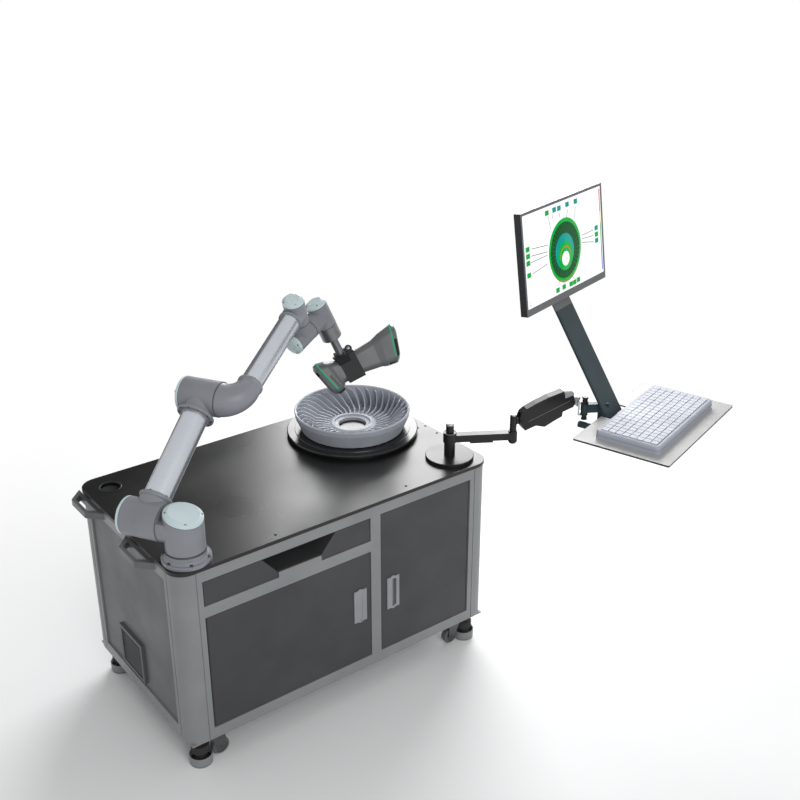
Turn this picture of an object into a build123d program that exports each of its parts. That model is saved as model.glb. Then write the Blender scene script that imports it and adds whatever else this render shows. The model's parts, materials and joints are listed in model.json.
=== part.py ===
from build123d import *
import math
import os

# A mobile scanning station: a steel-framed cabinet on levelling casters carries a six-axis arm
# that holds a hand scanner over a turntable, and a jointed side arm with monitor and keyboard.
# Working frame in mm: X along the front from the left post, Y from the front to the back, Z up
# from the floor. The finished parts are moved so that the origin is under the middle of the whole.

UP = Vector(0, 0, 1)
TOUCH_GAP = 0.3
RUN_FIT = 0.05
SHADOW_GAP = 3.0

# Cabinet frame
CABINET_W = 1200.0
CABINET_D = 697.0
TABLE_Z = 744.0
TABLE_T = 12.0
FRAME_Z = 112.0
RAIL = 40.0
RAIL_WALL = 2.5
POST_FACE = 64.0
POST_STRIP = 19.0
POST_RADIUS = 50.0
POST_WALL = 3.0
GROOVE_W = 3.0
GROOVE_D = 2.0
MID_POST_X = 692.5
DRAWER_BAY_H = 87.0
SHEET = 2.0
PANEL_RECESS = 6.0
POST = POST_FACE + POST_STRIP
TOP_RAIL_Z = TABLE_Z - TABLE_T - RAIL
LOW_RAIL_TOP = FRAME_Z + RAIL
MID_RAIL_Z = TOP_RAIL_Z - DRAWER_BAY_H - RAIL
MID_RAIL_TOP = MID_RAIL_Z + RAIL
LEFT_BAY = (POST, MID_POST_X)
RIGHT_BAY = (MID_POST_X + RAIL, CABINET_W - POST)

# Tabletop
TOP_OVERHANG = 5.0
TOP_RADIUS = 58.0
TOP_HOLE_R = 5.0
TOP_HOLES = ((351, 23), (856, 25), (1159, 346), (1191, 342), (1188, 271))
GROMMET = (76.0, 613.0)
GROMMET_R = 34.0

# Side handles, vent and fan
HANDLE_CENTRES = (232.0, 595.0)
HANDLE_BASE = 200.0
HANDLE_GRIP = 104.0
HANDLE_OUT = 46.0
HANDLE_BAR = 12.0
HANDLE_H = 22.0
VENT_CENTRE = (384.0, 247.0)
VENT_W = 164.0
VENT_H = 150.0
VENT_OUT = 12.0
VENT_BORDER = 12.0
VENT_SLATS = 9
FAN_R = 52.0
FAN_HUB_R = 20.0
FAN_DEPTH = 22.0
FAN_BLADES = 7
FAN_TIP_GAP = 2.0
FAN_PIN_R = 4.0

# Doors, drawer and their pulls
DOOR_T = 20.0
DOOR_RECESS = 2.0
DOOR_SHEET = 1.5
HINGE_INSET = 8.0
HINGE_PIN_R = 4.0
HINGE_BLOCK = 24.0
PULL_W = 51.0
PULL_H = 131.0
PULL_PROUD = 4.0
PULL_SLOT_W = 25.0
PULL_SLOT_H = 107.0
PULL_DEPTH = 13.0
LEFT_PULL_X = 647.0
RIGHT_PULL_X = 783.0
PULL_Z = 371.0
LOCK_R = 5.0
CUP_BOTTOM = (342.0, 500.0)
CUP_SPREAD = 56.0
CUP_DEPTH = 90.0
LIP_H = 16.0
DRAWER_BOX_D = 590.0
DRAWER_BOX_H = 62.0
RUNNER_W = 13.0
RUNNER_T = 2.0
RUNNER_SEAT = 16.0
LIP_TOP = MID_RAIL_TOP + SHADOW_GAP + LIP_H
DRAWER_X = (LEFT_BAY[0] + RAIL, LEFT_BAY[1] - RUNNER_W)
HINGE_Y = DOOR_RECESS + HINGE_INSET
HINGE_X = (LEFT_BAY[0] + SHADOW_GAP + HINGE_INSET, RIGHT_BAY[1] - SHADOW_GAP - HINGE_INSET)
DOOR_TOPS = (MID_RAIL_Z - SHADOW_GAP, TOP_RAIL_Z - SHADOW_GAP)

# Levelling casters
CASTER_INSET = 52.0
PLATE_SIZE = 90.0
PLATE_T = 6.0
KINGPIN_R = 16.0
KINGPIN_FLANGE = 4.0
KINGPIN_FLANGE_T = 3.0
YOKE_T = 16.0
YOKE_R = 27.0
FORK_T = 4.0
WHEEL_R = 30.0
WHEEL_W = 24.0
WHEEL_TRAIL = 68.0
WHEEL_LIFT = 3.0
AXLE_R = 5.0
FOOT_R = 36.0
FOOT_T = 8.0
FOOT_TRAVEL = 10.0
STEM_R = 8.0
THUMB_R = 29.0
THUMB_Z = 44.0
THUMB_H = 28.0
THUMB_RIBS = 24
KINGPIN_L = YOKE_T + 2 * TOUCH_GAP + KINGPIN_FLANGE_T

# Turntable and the bladed wheel on it
TABLE_CENTRE = (953.0, 469.0)
TURN_BASE_R = 222.0
TURN_BASE_T = 8.0
PLATTER_R = 237.0
PLATTER_T = 11.0
PLATTER_STEP_R = 208.0
PLATTER_STEP = 2.0
TURN_PIN_R = 18.0
PLATTER_Z = TABLE_Z + TURN_BASE_T + TOUCH_GAP
PLATTER_TOP = PLATTER_Z + PLATTER_T + PLATTER_STEP
SAMPLE_R = 209.0
SAMPLE_FOOT_R = 185.0
SAMPLE_H = 73.0
SAMPLE_WALL = 8.0
SAMPLE_FLOOR = 7.0
SAMPLE_BORE_R = 50.0
SAMPLE_HUB_R = 92.0
SAMPLE_HUB_H = 18.0
BLADES = 36
BLADE_T = 4.5
BLADE_SWEEP = 24.0

# Robot arm
ROBOT_XY = (74.0, 70.0)
ROBOT_TURN = -58.78
FLANGE_R = 75.0
FLANGE_T = 12.0
BASE_NECK_R = 62.0
BASE_NECK_H = 34.0
SHOULDER_R = 60.0
SHOULDER_Z = 106.5
SHOULDER_TOP = 140.0
CAP_TILT = 14.0
SHOULDER_OFFSET = 125.4
SHOULDER_HALF = 62.0
UPPER_ANGLE = 33.73
UPPER_L = 436.5
UPPER_R = 43.0
ELBOW_R = 57.0
ELBOW_OFFSET = 123.25
FOREARM_ANGLE = 20.9
FOREARM_L = 440.0
FOREARM_R = 36.0
SOCKET_L = 24.0
TUBE_WALL = 4.0
WRIST_R = 37.0
WRIST_JOINT = 44.0
WRIST_DROP = 104.0
WRIST_SWING = 12.5
WRIST_REACH = 116.0
TOOL_SWING = 17.0
TOOL_REACH = 94.0
ROD_R = 15.0
ROD_L = 75.0
CAP_H = 17.0
CAP_BEVEL = 12.0

# Hand scanner and its clamp
SCANNER_DROP = 60.0
SCANNER_TILT = 22.0
SCANNER_AXIS = Vector(0.857, -0.326, 0.399)
NEAR_HEAD_X = -72.0
FAR_HEAD_X = 172.0
HEAD_W = 66.0
HEAD_L = 140.0
HEAD_T = 62.0
GRIP_W = 48.0
GRIP_L = 86.0
TOE_IN = 13.0
CLAMP_X = (-18.0, 46.0)
CLAMP_PLATE_X = (-30.0, 42.0)
CLAMP_WALL = 7.0
BUTTON_X = 60.0
BUTTON_R = 7.0
BUTTON_TRAVEL = 1.5

# Side arm, console and monitor
POST_XY = (1104.0, 99.0)
POST_DISC_R = 84.0
POST_DISC_T = 12.0
POST_R = 19.0
POST_STUB_R = 14.0
POST_CAP_Z = 874.0
LINK_Z = 804.0
LINK_H = 28.0
LINK_W = 30.0
LINK_L = 220.0
LINK_TURN = -31.8
KNUCKLE_R = 12.0
ROOT_OUT = 30.0
KNUCKLE_TOP = 898.0
SPRING_Z = 872.0
SPRING_L = 200.0
SPRING_TURN = -15.4
SPRING_RISE = 12.0
SPRING_W = 34.0
HEAD_DROP = 26.0
PIVOT_OUT = 40.0
PIVOT_SIDE = 26.0
PIVOT_R = 12.0
PIVOT_H = 86.0
FORK_BACK = 20.0
FORK_H = 52.0
FORK_PLATE = 9.0
EAR_H = 32.0
CONSOLE_TURN = 17.2
MONITOR_TURN = 15.2
CONSOLE_FOOT = (1628.0, -167.0, 862.0)
COLUMN_W = 112.0
COLUMN_T = 12.0
COLUMN_L = 440.0
COLUMN_LEAN = 32.0
WEDGE_Z = (-42.0, 44.0)
WEDGE_BACK = 46.0
WEDGE_HALF = 28.0
EAR_SHORT = 20.0
LEVER_OUT = 84.0
MONITOR_W = 540.0
MONITOR_H = 344.0
MONITOR_T = 25.0
MONITOR_C = (1556.8, 59.0, 1423.3)
MONITOR_TILT = 7.8
BEZEL = 9.0
TILT_PIN_R = 5.0
BEZEL_LOW = 24.0
GLASS_T = 1.5
TRAY_C = (1680.0, -314.0, 870.0)
TRAY_W = 566.0
TRAY_D = 343.0
TRAY_T = 6.0
KEYBOARD_C = (1680.0, -314.0)
KEYBOARD_W = 468.0
KEYBOARD_D = 230.0
KEYBOARD_H = 28.0
KEY_ROWS = 8
KEY_COLUMNS = 18
KEY_GAP = 3.0
KEY_T = 4.0
KEY_TRAVEL = 2.0


def block(x, y, z):
    """Box between pairs of coordinates."""
    size = Box(x[1] - x[0], y[1] - y[0], z[1] - z[0])
    return Pos((x[0] + x[1]) / 2, (y[0] + y[1]) / 2, (z[0] + z[1]) / 2) * size


def rod(start, axis, radius, length):
    """Cylinder that begins at start and runs along axis."""
    low = (Align.CENTER, Align.CENTER, Align.MIN)
    return Plane(origin=start, z_dir=axis) * Cylinder(radius, length, align=low)


def tube(start, axis, radius, bore, length):
    """Pipe that begins at start and runs along axis."""
    return rod(start, axis, radius, length) - rod(start, axis, bore, length)


def turned(plane, points):
    """Solid turned about the plane's Z axis from (radius, height) points."""
    profile = make_face(Polyline(*[(r, 0, z) for r, z in points], close=True))
    return plane * revolve(profile, Axis.Z)


def group(pieces):
    """One node that holds several separate solids."""
    return Compound([solid for piece in pieces for solid in piece.solids()])


def flat_direction(degrees):
    """Level unit vector at an angle from +X."""
    return Vector(math.cos(math.radians(degrees)), math.sin(math.radians(degrees)), 0)


def lean(level, up, degrees):
    """Unit vector raised from level towards up."""
    return level * math.cos(math.radians(degrees)) + up * math.sin(math.radians(degrees))


def corners():
    """The four post corners: place, X mirror and Y mirror."""
    for x, sx in ((0, 1), (CABINET_W, -1)):
        for y, sy in ((0, 1), (CABINET_D, -1)):
            yield x, y, sx, sy


def mirrored(shape, x, y, sx, sy):
    """Moves a corner piece built at the origin to its corner, handed to match."""
    if sx < 0:
        shape = mirror(shape, Plane.YZ)
    if sy < 0:
        shape = mirror(shape, Plane.XZ)
    return Pos(x, y, 0) * shape


# Cabinet
def post_outline():
    """L-shaped post section with its rounded outer corner at the origin."""
    points = ((0, 0), (POST, 0), (POST, RAIL), (RAIL, RAIL), (RAIL, POST), (0, POST))
    outline = make_face(Polyline(*points, close=True))
    outer = outline.vertices().sort_by(lambda v: v.X + v.Y)[0]
    return fillet(outer, min(POST_RADIUS, POST_FACE - 1))


def corner_post():
    outline = post_outline()
    height = TABLE_Z - TABLE_T - FRAME_Z
    solid = extrude(outline, height) - extrude(offset(outline, -POST_WALL), height)
    front = block((POST_FACE - GROOVE_W / 2, POST_FACE + GROOVE_W / 2), (0, GROOVE_D), (0, height))
    side = block((0, GROOVE_D), (POST_FACE - GROOVE_W / 2, POST_FACE + GROOVE_W / 2), (0, height))
    return Pos(0, 0, FRAME_Z) * (solid - front - side)


def caster_plate():
    """Plate under a post with the hollow kingpin that the yoke turns on."""
    half = PLATE_SIZE / 2
    centre = (CASTER_INSET, CASTER_INSET)
    plate = Pos(*centre, FRAME_Z - PLATE_T / 2) * Box(2 * half, 2 * half, PLATE_T)
    top = FRAME_Z - PLATE_T
    pin = rod((*centre, top - KINGPIN_L), UP, KINGPIN_R, KINGPIN_L)
    flange_r = KINGPIN_R + KINGPIN_FLANGE
    flange = rod((*centre, top - KINGPIN_L), UP, flange_r, KINGPIN_FLANGE_T)
    bore = rod((*centre, top - KINGPIN_L), UP, STEM_R + RUN_FIT, KINGPIN_L + PLATE_T)
    return plate + pin + flange - bore


def rail(x, y, z):
    """Square hollow rail along its longest side."""
    outer = block(x, y, z)
    spans = [x[1] - x[0], y[1] - y[0], z[1] - z[0]]
    way = spans.index(max(spans))
    inner = [
        (low, high) if i == way else (low + RAIL_WALL, high - RAIL_WALL)
        for i, (low, high) in enumerate((x, y, z))
    ]
    return outer - block(*inner)


def frame_posts():
    posts = []
    for corner in corners():
        posts.append(mirrored(corner_post(), *corner))
        posts.append(mirrored(caster_plate(), *corner))
    middle = (MID_POST_X, MID_POST_X + RAIL)
    posts.append(rail(middle, (0, RAIL), (LOW_RAIL_TOP, TOP_RAIL_Z)))
    return group(posts)


def hinge_pins():
    """Upright pins that the two doors swing on."""
    pins = []
    for x in HINGE_X:
        low = LOW_RAIL_TOP
        pins.append(rod((x, HINGE_Y, low), UP, HINGE_PIN_R, HINGE_BLOCK))
    for x, top in zip(HINGE_X, DOOR_TOPS):
        start = top + SHADOW_GAP - HINGE_BLOCK
        pins.append(rod((x, HINGE_Y, start), UP, HINGE_PIN_R, HINGE_BLOCK))
    return pins


def frame_rails():
    inner_x = (POST, CABINET_W - POST)
    inner_y = (POST, CABINET_D - POST)
    levels = ((FRAME_Z, LOW_RAIL_TOP), (TOP_RAIL_Z, TOP_RAIL_Z + RAIL))
    rails = []
    for z in levels:
        for y in ((0, RAIL), (CABINET_D - RAIL, CABINET_D)):
            rails.append(rail(inner_x, y, z))
        for x in ((0, RAIL), (CABINET_W - RAIL, CABINET_W)):
            rails.append(rail(x, inner_y, z))
    middle = (MID_RAIL_Z, MID_RAIL_TOP)
    rails.append(rail(LEFT_BAY, (0, RAIL), middle))
    rails.append(rail((POST, MID_POST_X + RAIL), (CABINET_D - RAIL, CABINET_D), middle))
    for x in (POST, MID_POST_X - RUNNER_SEAT):
        rails.append(rail((x, x + RAIL), (RAIL, CABINET_D - RAIL), middle))
    rails += hinge_pins()
    return group(rails)


def tabletop():
    width = CABINET_W + 2 * TOP_OVERHANG
    depth = CABINET_D + 2 * TOP_OVERHANG
    plate = extrude(RectangleRounded(width, depth, TOP_RADIUS), TABLE_T)
    plate = Pos(CABINET_W / 2, CABINET_D / 2, TABLE_Z - TABLE_T) * plate
    edge = plate.faces().sort_by(Axis.Z)[-1].edges()
    plate = chamfer(edge, 1.2)
    for x, y in TOP_HOLES:
        plate -= rod((x, y, TABLE_Z - TABLE_T), UP, TOP_HOLE_R, TABLE_T)
    return plate - rod((*GROMMET, TABLE_Z - TABLE_T), UP, GROMMET_R, TABLE_T)


def cabinet_panels():
    """Side, back and floor sheets and the wall between the bays."""
    y = (POST, CABINET_D - POST)
    z = (LOW_RAIL_TOP, TOP_RAIL_Z)
    left = block((PANEL_RECESS, PANEL_RECESS + SHEET), y, z)
    vy, vz = VENT_CENTRE
    hole = FAN_R + FAN_TIP_GAP
    left -= rod((0, vy, vz), Vector(1, 0, 0), hole, PANEL_RECESS + SHEET)
    right = block((CABINET_W - PANEL_RECESS - SHEET, CABINET_W - PANEL_RECESS), y, z)
    back_y = (CABINET_D - PANEL_RECESS - SHEET, CABINET_D - PANEL_RECESS)
    lower = block((POST, CABINET_W - POST), back_y, (LOW_RAIL_TOP, MID_RAIL_Z))
    upper = block((POST, CABINET_W - POST), back_y, (MID_RAIL_TOP, TOP_RAIL_Z))
    side = block((MID_POST_X + RAIL, CABINET_W - POST), back_y, (MID_RAIL_Z, MID_RAIL_TOP))
    inside_x = (RAIL, CABINET_W - RAIL)
    inside_y = (RAIL, CABINET_D - RAIL)
    floor = block(inside_x, inside_y, (LOW_RAIL_TOP - SHEET, LOW_RAIL_TOP))
    wall_x = MID_POST_X + RAIL / 2
    wall = block((wall_x, wall_x + SHEET), (RAIL, back_y[0]), (LOW_RAIL_TOP, MID_RAIL_Z))
    back = lower + upper + side
    return group((left, right, back, floor, wall))


def side_handle(centre):
    """Angular bow handle cut from bar, bolted to the left top rail."""
    half_base = HANDLE_BASE / 2
    half_grip = HANDLE_GRIP / 2
    bar = HANDLE_BAR
    outer = Polyline((0, -half_base), (-HANDLE_OUT, -half_grip), (-HANDLE_OUT, half_grip),
                     (0, half_base), close=True)
    inner = Polyline((-bar, -half_base + 3 * bar), (bar - HANDLE_OUT, -half_grip + bar / 2),
                     (bar - HANDLE_OUT, half_grip - bar / 2), (-bar, half_base - 3 * bar),
                     close=True)
    ring = extrude(make_face(outer), HANDLE_H) - extrude(make_face(inner), HANDLE_H)
    ring = chamfer(ring.edges().group_by(Axis.X)[0], 1.5)
    return Pos(0, centre, TOP_RAIL_Z + (RAIL - HANDLE_H) / 2) * ring


def side_handles():
    return group([side_handle(y) for y in HANDLE_CENTRES])


def vent_grille():
    """Framed louvre on the left side with the fan ring and its bearing spider behind."""
    vy, vz = VENT_CENTRE
    x = (PANEL_RECESS - VENT_OUT, PANEL_RECESS)
    half_w = VENT_W / 2
    half_h = VENT_H / 2
    frame = block(x, (vy - half_w, vy + half_w), (vz - half_h, vz + half_h))
    inner_w = half_w - VENT_BORDER
    inner_h = half_h - VENT_BORDER
    frame -= block(x, (vy - inner_w, vy + inner_w), (vz - inner_h, vz + inner_h))
    pitch = 2 * inner_h / VENT_SLATS
    depth = VENT_OUT - 2
    for i in range(VENT_SLATS):
        z = vz - inner_h + (i + 0.5) * pitch
        slat = Box(depth, 2 * inner_w, 1.5)
        frame += Pos(x[0] + 1 + depth / 2, vy, z) * Rot(Y=-30) * slat
    ring_x = PANEL_RECESS + SHEET
    axis = Vector(1, 0, 0)
    centre = (ring_x, vy, vz)
    ring = tube(centre, axis, FAN_R + 8, FAN_R + FAN_TIP_GAP, FAN_DEPTH + 4)
    far = ring_x + FAN_DEPTH + 4
    for turn in range(3):
        arm = block((far - 3, far), (-4, 4), (0, FAN_R + 5))
        ring += Pos(0, vy, vz) * Rot(X=120 * turn) * arm
    ring += rod((far - 3, vy, vz), axis, FAN_HUB_R * 0.6, 3)
    ring += rod((ring_x + 2, vy, vz), axis, FAN_PIN_R, far - ring_x - 2)
    return group((frame, ring))


def fan_rotor():
    vy, vz = VENT_CENTRE
    start = PANEL_RECESS + SHEET + 1
    axis = Vector(1, 0, 0)
    hub = rod((start, vy, vz), axis, FAN_HUB_R, FAN_DEPTH - 2)
    blade = Box(2, 16, FAN_R - FAN_HUB_R + 3, align=(Align.CENTER, Align.CENTER, Align.MIN))
    middle = start + FAN_DEPTH / 2 - 1
    for i in range(FAN_BLADES):
        pose = Pos(middle, vy, vz) * Rot(X=360 * i / FAN_BLADES) * Pos(0, 0, FAN_HUB_R - 3)
        hub += pose * Rot(Z=55) * blade
    return hub - rod((start, vy, vz), axis, FAN_PIN_R + RUN_FIT, FAN_DEPTH - 2)


# Doors and drawer
def door_shell(bay, top, hinge_x, pull_x):
    """Folded sheet door, open behind, with its pivot blocks and the window for the pull."""
    x = (bay[0] + SHADOW_GAP, bay[1] - SHADOW_GAP)
    y = (DOOR_RECESS, DOOR_RECESS + DOOR_T)
    z = (LOW_RAIL_TOP + SHADOW_GAP, top)
    outer = block(x, y, z)
    front = outer.edges().filter_by(Axis.Z).filter_by(lambda e: e.center().Y < HINGE_Y)
    near = front.sort_by(lambda e: abs(e.center().X - hinge_x))[0]
    outer = fillet(near, HINGE_INSET - 0.5)
    inner = block((x[0] + HINGE_INSET, x[1] - HINGE_INSET), (y[0] + DOOR_SHEET, y[1]),
                  (z[0] + DOOR_SHEET, z[1] - DOOR_SHEET))
    door = outer - inner
    for low in (z[0], top - HINGE_BLOCK):
        knuckle = block((hinge_x - HINGE_INSET, hinge_x + HINGE_INSET + 4),
                        (y[0] + DOOR_SHEET, HINGE_Y + HINGE_INSET), (low, low + HINGE_BLOCK))
        door += knuckle & outer
        door -= rod((hinge_x, HINGE_Y, low), UP, HINGE_PIN_R + RUN_FIT, HINGE_BLOCK)
    half_w = PULL_SLOT_W / 2 + 2
    half_h = PULL_SLOT_H / 2 + 2
    window = block((pull_x - half_w, pull_x + half_w), (y[0], y[0] + DOOR_SHEET),
                   (PULL_Z - half_h, PULL_Z + half_h))
    return door - window


def left_door():
    return door_shell(LEFT_BAY, DOOR_TOPS[0], HINGE_X[0], LEFT_PULL_X)


def right_door():
    return door_shell(RIGHT_BAY, DOOR_TOPS[1], HINGE_X[1], RIGHT_PULL_X)


def door_pull(x):
    """Recessed pull: a bowed plate with a finger pocket behind it and a key lock below."""
    face = Rectangle(PULL_W, PULL_H - 8) + Pos(0, 0) * Ellipse(PULL_W / 2, PULL_H / 2)
    upright = Plane(origin=(x, DOOR_RECESS, PULL_Z), x_dir=(1, 0, 0), z_dir=(0, -1, 0))
    plate = upright * extrude(face, PULL_PROUD)
    rim = plate.faces().sort_by(Axis.Y)[0].edges()
    plate = chamfer(rim, 1.0)
    slot = RectangleRounded(PULL_SLOT_W, PULL_SLOT_H, 4)
    cup = upright * extrude(RectangleRounded(PULL_SLOT_W + 3, PULL_SLOT_H + 3, 5), -PULL_DEPTH)
    plate = plate + cup
    deep = PULL_PROUD + PULL_DEPTH - DOOR_SHEET
    pocket = upright * Pos(0, 0, PULL_PROUD) * extrude(slot, -deep)
    plate -= pocket
    bar_x = (PULL_SLOT_W - 9) / 2
    grip = block((x - PULL_SLOT_W / 2, x - PULL_SLOT_W / 2 + bar_x),
                 (DOOR_RECESS - PULL_PROUD, DOOR_RECESS - PULL_PROUD + 2),
                 (PULL_Z - PULL_SLOT_H / 2, PULL_Z + PULL_SLOT_H / 2))
    plate += grip
    lock_z = PULL_Z - PULL_H / 2 + 2 * LOCK_R
    return plate + rod((x, DOOR_RECESS - PULL_PROUD, lock_z - 1), (0, -1, 0), LOCK_R - 1, 1)


def cup_face(margin):
    """Outline of the drawer's pull recess, wider at its open top."""
    low = LIP_TOP - margin
    high = TOP_RAIL_Z - SHADOW_GAP
    a, b = CUP_BOTTOM
    spread = CUP_SPREAD
    return make_face(Polyline((a - margin, low), (b + margin, low), (b + spread + margin, high),
                              (a - spread - margin, high), close=True))


def drawer_front():
    x = (LEFT_BAY[0] + SHADOW_GAP, LEFT_BAY[1] - SHADOW_GAP)
    y = (DOOR_RECESS, DOOR_RECESS + DOOR_T)
    z = (MID_RAIL_TOP + SHADOW_GAP, TOP_RAIL_Z - SHADOW_GAP)
    upright = Plane(origin=(0, y[0], 0), x_dir=(1, 0, 0), z_dir=(0, -1, 0))
    shell = upright * extrude(cup_face(DOOR_SHEET), -CUP_DEPTH)
    hollow = upright * extrude(cup_face(0), DOOR_SHEET - CUP_DEPTH)
    front = block(x, y, z) + shell - hollow
    lip = block((CUP_BOTTOM[0], CUP_BOTTOM[1]), (0, y[0]), (z[0], LIP_TOP))
    back = block((CUP_BOTTOM[0], CUP_BOTTOM[1]), (y[0], y[1] - 4), (LIP_TOP, LIP_TOP + 3))
    return front + lip + back


def drawer_box():
    """Open tray behind the drawer front, folded from sheet."""
    y = (DOOR_RECESS + DOOR_T, DOOR_RECESS + DOOR_T + DRAWER_BOX_D)
    z = (MID_RAIL_TOP + 2 * SHADOW_GAP, MID_RAIL_TOP + 2 * SHADOW_GAP + DRAWER_BOX_H)
    outer = block(DRAWER_X, y, z)
    s = DOOR_SHEET
    inner = block((DRAWER_X[0] + s, DRAWER_X[1] - s), (y[0] + s, y[1] - s), (z[0] + s, z[1]))
    upright = Plane(origin=(0, y[0], 0), x_dir=(1, 0, 0), z_dir=(0, -1, 0))
    window = upright * extrude(cup_face(DOOR_SHEET), -s)
    box = outer - inner - window
    for x in (DRAWER_X[0] - 4, DRAWER_X[1]):
        slide_z = z[0] + 10
        box += block((x, x + 4), (y[0] + 10, y[1]), (slide_z, slide_z + 10))
    return box


def drawer_runners():
    """Channels that stand on the support rails and carry the drawer's side strips."""
    slide_z = MID_RAIL_TOP + 2 * SHADOW_GAP + 10
    y = (RAIL, DOOR_RECESS + DOOR_T + DRAWER_BOX_D)
    runners = []
    for edge, way in ((DRAWER_X[0], -1), (DRAWER_X[1], 1)):
        near = edge + way * TOUCH_GAP
        far = edge + way * (RUNNER_W - 4)
        x = (min(near, far), max(near, far))
        body = block(x, y, (MID_RAIL_TOP, slide_z + 10 + RUNNER_T + TOUCH_GAP))
        slot_far = edge + way * (4 + TOUCH_GAP)
        slot = (min(edge, slot_far), max(edge, slot_far))
        body -= block(slot, y, (slide_z - TOUCH_GAP, slide_z + 10 + TOUCH_GAP))
        runners.append(body)
    return group(runners)


def robot_controller():
    """Controller housing on the cabinet floor with a front door, feet and vents."""
    x, y, z = (150, 590), (160, 560), (LOW_RAIL_TOP, LOW_RAIL_TOP + 330)
    shell = block(x, y, (z[0] + 12, z[1])) - block((x[0] + 3, x[1] - 3), (y[0] + 3, y[1] - 3),
                                                   (z[0] + 15, z[1] - 3))
    for fx in (x[0] + 40, x[1] - 40):
        for fy in (y[0] + 40, y[1] - 40):
            shell += rod((fx, fy, z[0]), UP, 14, 14)
    shell += block((x[0] + 20, x[1] - 20), (y[0] - 5, y[0]), (z[0] + 30, z[1] - 20))
    for i in range(8):
        slot_z = z[0] + 60 + 14 * i
        shell -= block((x[0], x[0] + 3), (y[0] + 80, y[1] - 80), (slot_z, slot_z + 5))
    return shell


def computer():
    """Tower computer on the cabinet floor behind the right door."""
    x, y, z = (820, 1020), (190, 600), (LOW_RAIL_TOP, LOW_RAIL_TOP + 420)
    shell = block(x, y, (z[0] + 8, z[1])) - block((x[0] + 2, x[1] - 2), (y[0] + 2, y[1] - 2),
                                                  (z[0] + 10, z[1] - 2))
    for fy in (y[0] + 40, y[1] - 40):
        shell += block((x[0] + 15, x[1] - 15), (fy - 10, fy + 10), (z[0], z[0] + 8))
    shell += block((x[0], x[1]), (y[0] - 8, y[0]), (z[0] + 8, z[1]))
    for i in range(9):
        slot_z = z[0] + 60 + 20 * i
        shell -= block((x[0] + 30, x[1] - 30), (y[0] - 8, y[0] + 2), (slot_z, slot_z + 7))
    return shell


# Levelling casters, built round their swivel axis at the origin
def caster_yoke():
    top = FRAME_Z - PLATE_T - TOUCH_GAP
    hub = rod((0, 0, top - YOKE_T), UP, YOKE_R, YOKE_T)
    reach = WHEEL_TRAIL + 14
    arm = block((0, reach), (-WHEEL_W / 2 - 2 - FORK_T, WHEEL_W / 2 + 2 + FORK_T),
                (top - YOKE_T, top))
    axle_z = WHEEL_LIFT + WHEEL_R
    body = hub + arm
    inside = THUMB_R + 4
    for side in (-1, 1):
        y = side * (WHEEL_W / 2 + 2 + FORK_T / 2)
        leg = Polyline((inside, top), (reach, top), (reach, axle_z), (WHEEL_TRAIL, axle_z - 14),
                       (WHEEL_TRAIL - 13, axle_z), (inside, top - YOKE_T - 6), close=True)
        plate = extrude(Plane.XZ * make_face(leg), FORK_T / 2, both=True)
        body += Pos(0, y, 0) * plate
    span = WHEEL_W + 4 + 2 * FORK_T
    body += rod((WHEEL_TRAIL, -span / 2 - 2, axle_z), (0, 1, 0), AXLE_R, span + 4)
    return body - rod((0, 0, top - YOKE_T), UP, KINGPIN_R + RUN_FIT, YOKE_T)


def caster_wheel():
    axle_z = WHEEL_LIFT + WHEEL_R
    start = (WHEEL_TRAIL, -WHEEL_W / 2, axle_z)
    wheel = rod(start, (0, 1, 0), WHEEL_R, WHEEL_W)
    wheel = fillet(wheel.edges().filter_by(GeomType.CIRCLE), 4)
    for side in (0, 1):
        y = -WHEEL_W / 2 + side * (WHEEL_W - 4)
        wheel -= tube((WHEEL_TRAIL, y, axle_z), (0, 1, 0), WHEEL_R - 8, AXLE_R + 6, 4)
    return wheel - rod(start, (0, 1, 0), AXLE_R + RUN_FIT, WHEEL_W)


def caster_foot():
    """Pad with its neck, ribbed thumbwheel and threaded stem, screwed up and down together."""
    stem_top = FRAME_Z - FOOT_TRAVEL - 2
    pad = turned(Plane.XY, ((0, 0), (FOOT_R - 2, 0), (FOOT_R, 2), (FOOT_R, FOOT_T),
                            (2 * STEM_R, FOOT_T + 12), (2 * STEM_R, THUMB_Z), (0, THUMB_Z)))
    top = THUMB_Z + THUMB_H
    thumb = turned(Plane.XY, ((0, THUMB_Z), (THUMB_R - 2, THUMB_Z), (THUMB_R, THUMB_Z + 2),
                              (THUMB_R, top - 2), (THUMB_R - 2, top), (0, top)))
    notch = rod((THUMB_R + 0.6, 0, THUMB_Z + 3), UP, 2.2, THUMB_H - 6)
    thumb -= [Rot(Z=360 * i / THUMB_RIBS) * notch for i in range(THUMB_RIBS)]
    return group([pad, thumb, rod((0, 0, top), UP, STEM_R, stem_top - top)])


def caster_places():
    names = ("left_front", "left_back", "right_front", "right_back")
    for name, (x, y, sx, sy) in zip(names, corners()):
        yield name, (x + sx * CASTER_INSET, y + sy * CASTER_INSET), sx


# Turntable
def turntable_base():
    base = rod((*TABLE_CENTRE, TABLE_Z), UP, TURN_BASE_R, TURN_BASE_T)
    pin = rod((*TABLE_CENTRE, TABLE_Z + TURN_BASE_T), UP, TURN_PIN_R, PLATTER_T - 2)
    return base + pin


def turntable_platter():
    outline = ((0, 0), (PLATTER_R - 2, 0), (PLATTER_R, 2), (PLATTER_R, PLATTER_T - 3),
               (PLATTER_R - 3, PLATTER_T), (PLATTER_STEP_R + 1, PLATTER_T),
               (PLATTER_STEP_R, PLATTER_T + PLATTER_STEP), (0, PLATTER_T + PLATTER_STEP))
    disc = turned(Plane(origin=(*TABLE_CENTRE, PLATTER_Z)), outline)
    return disc - rod((*TABLE_CENTRE, PLATTER_Z), UP, TURN_PIN_R + RUN_FIT, PLATTER_T - 1)


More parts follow.
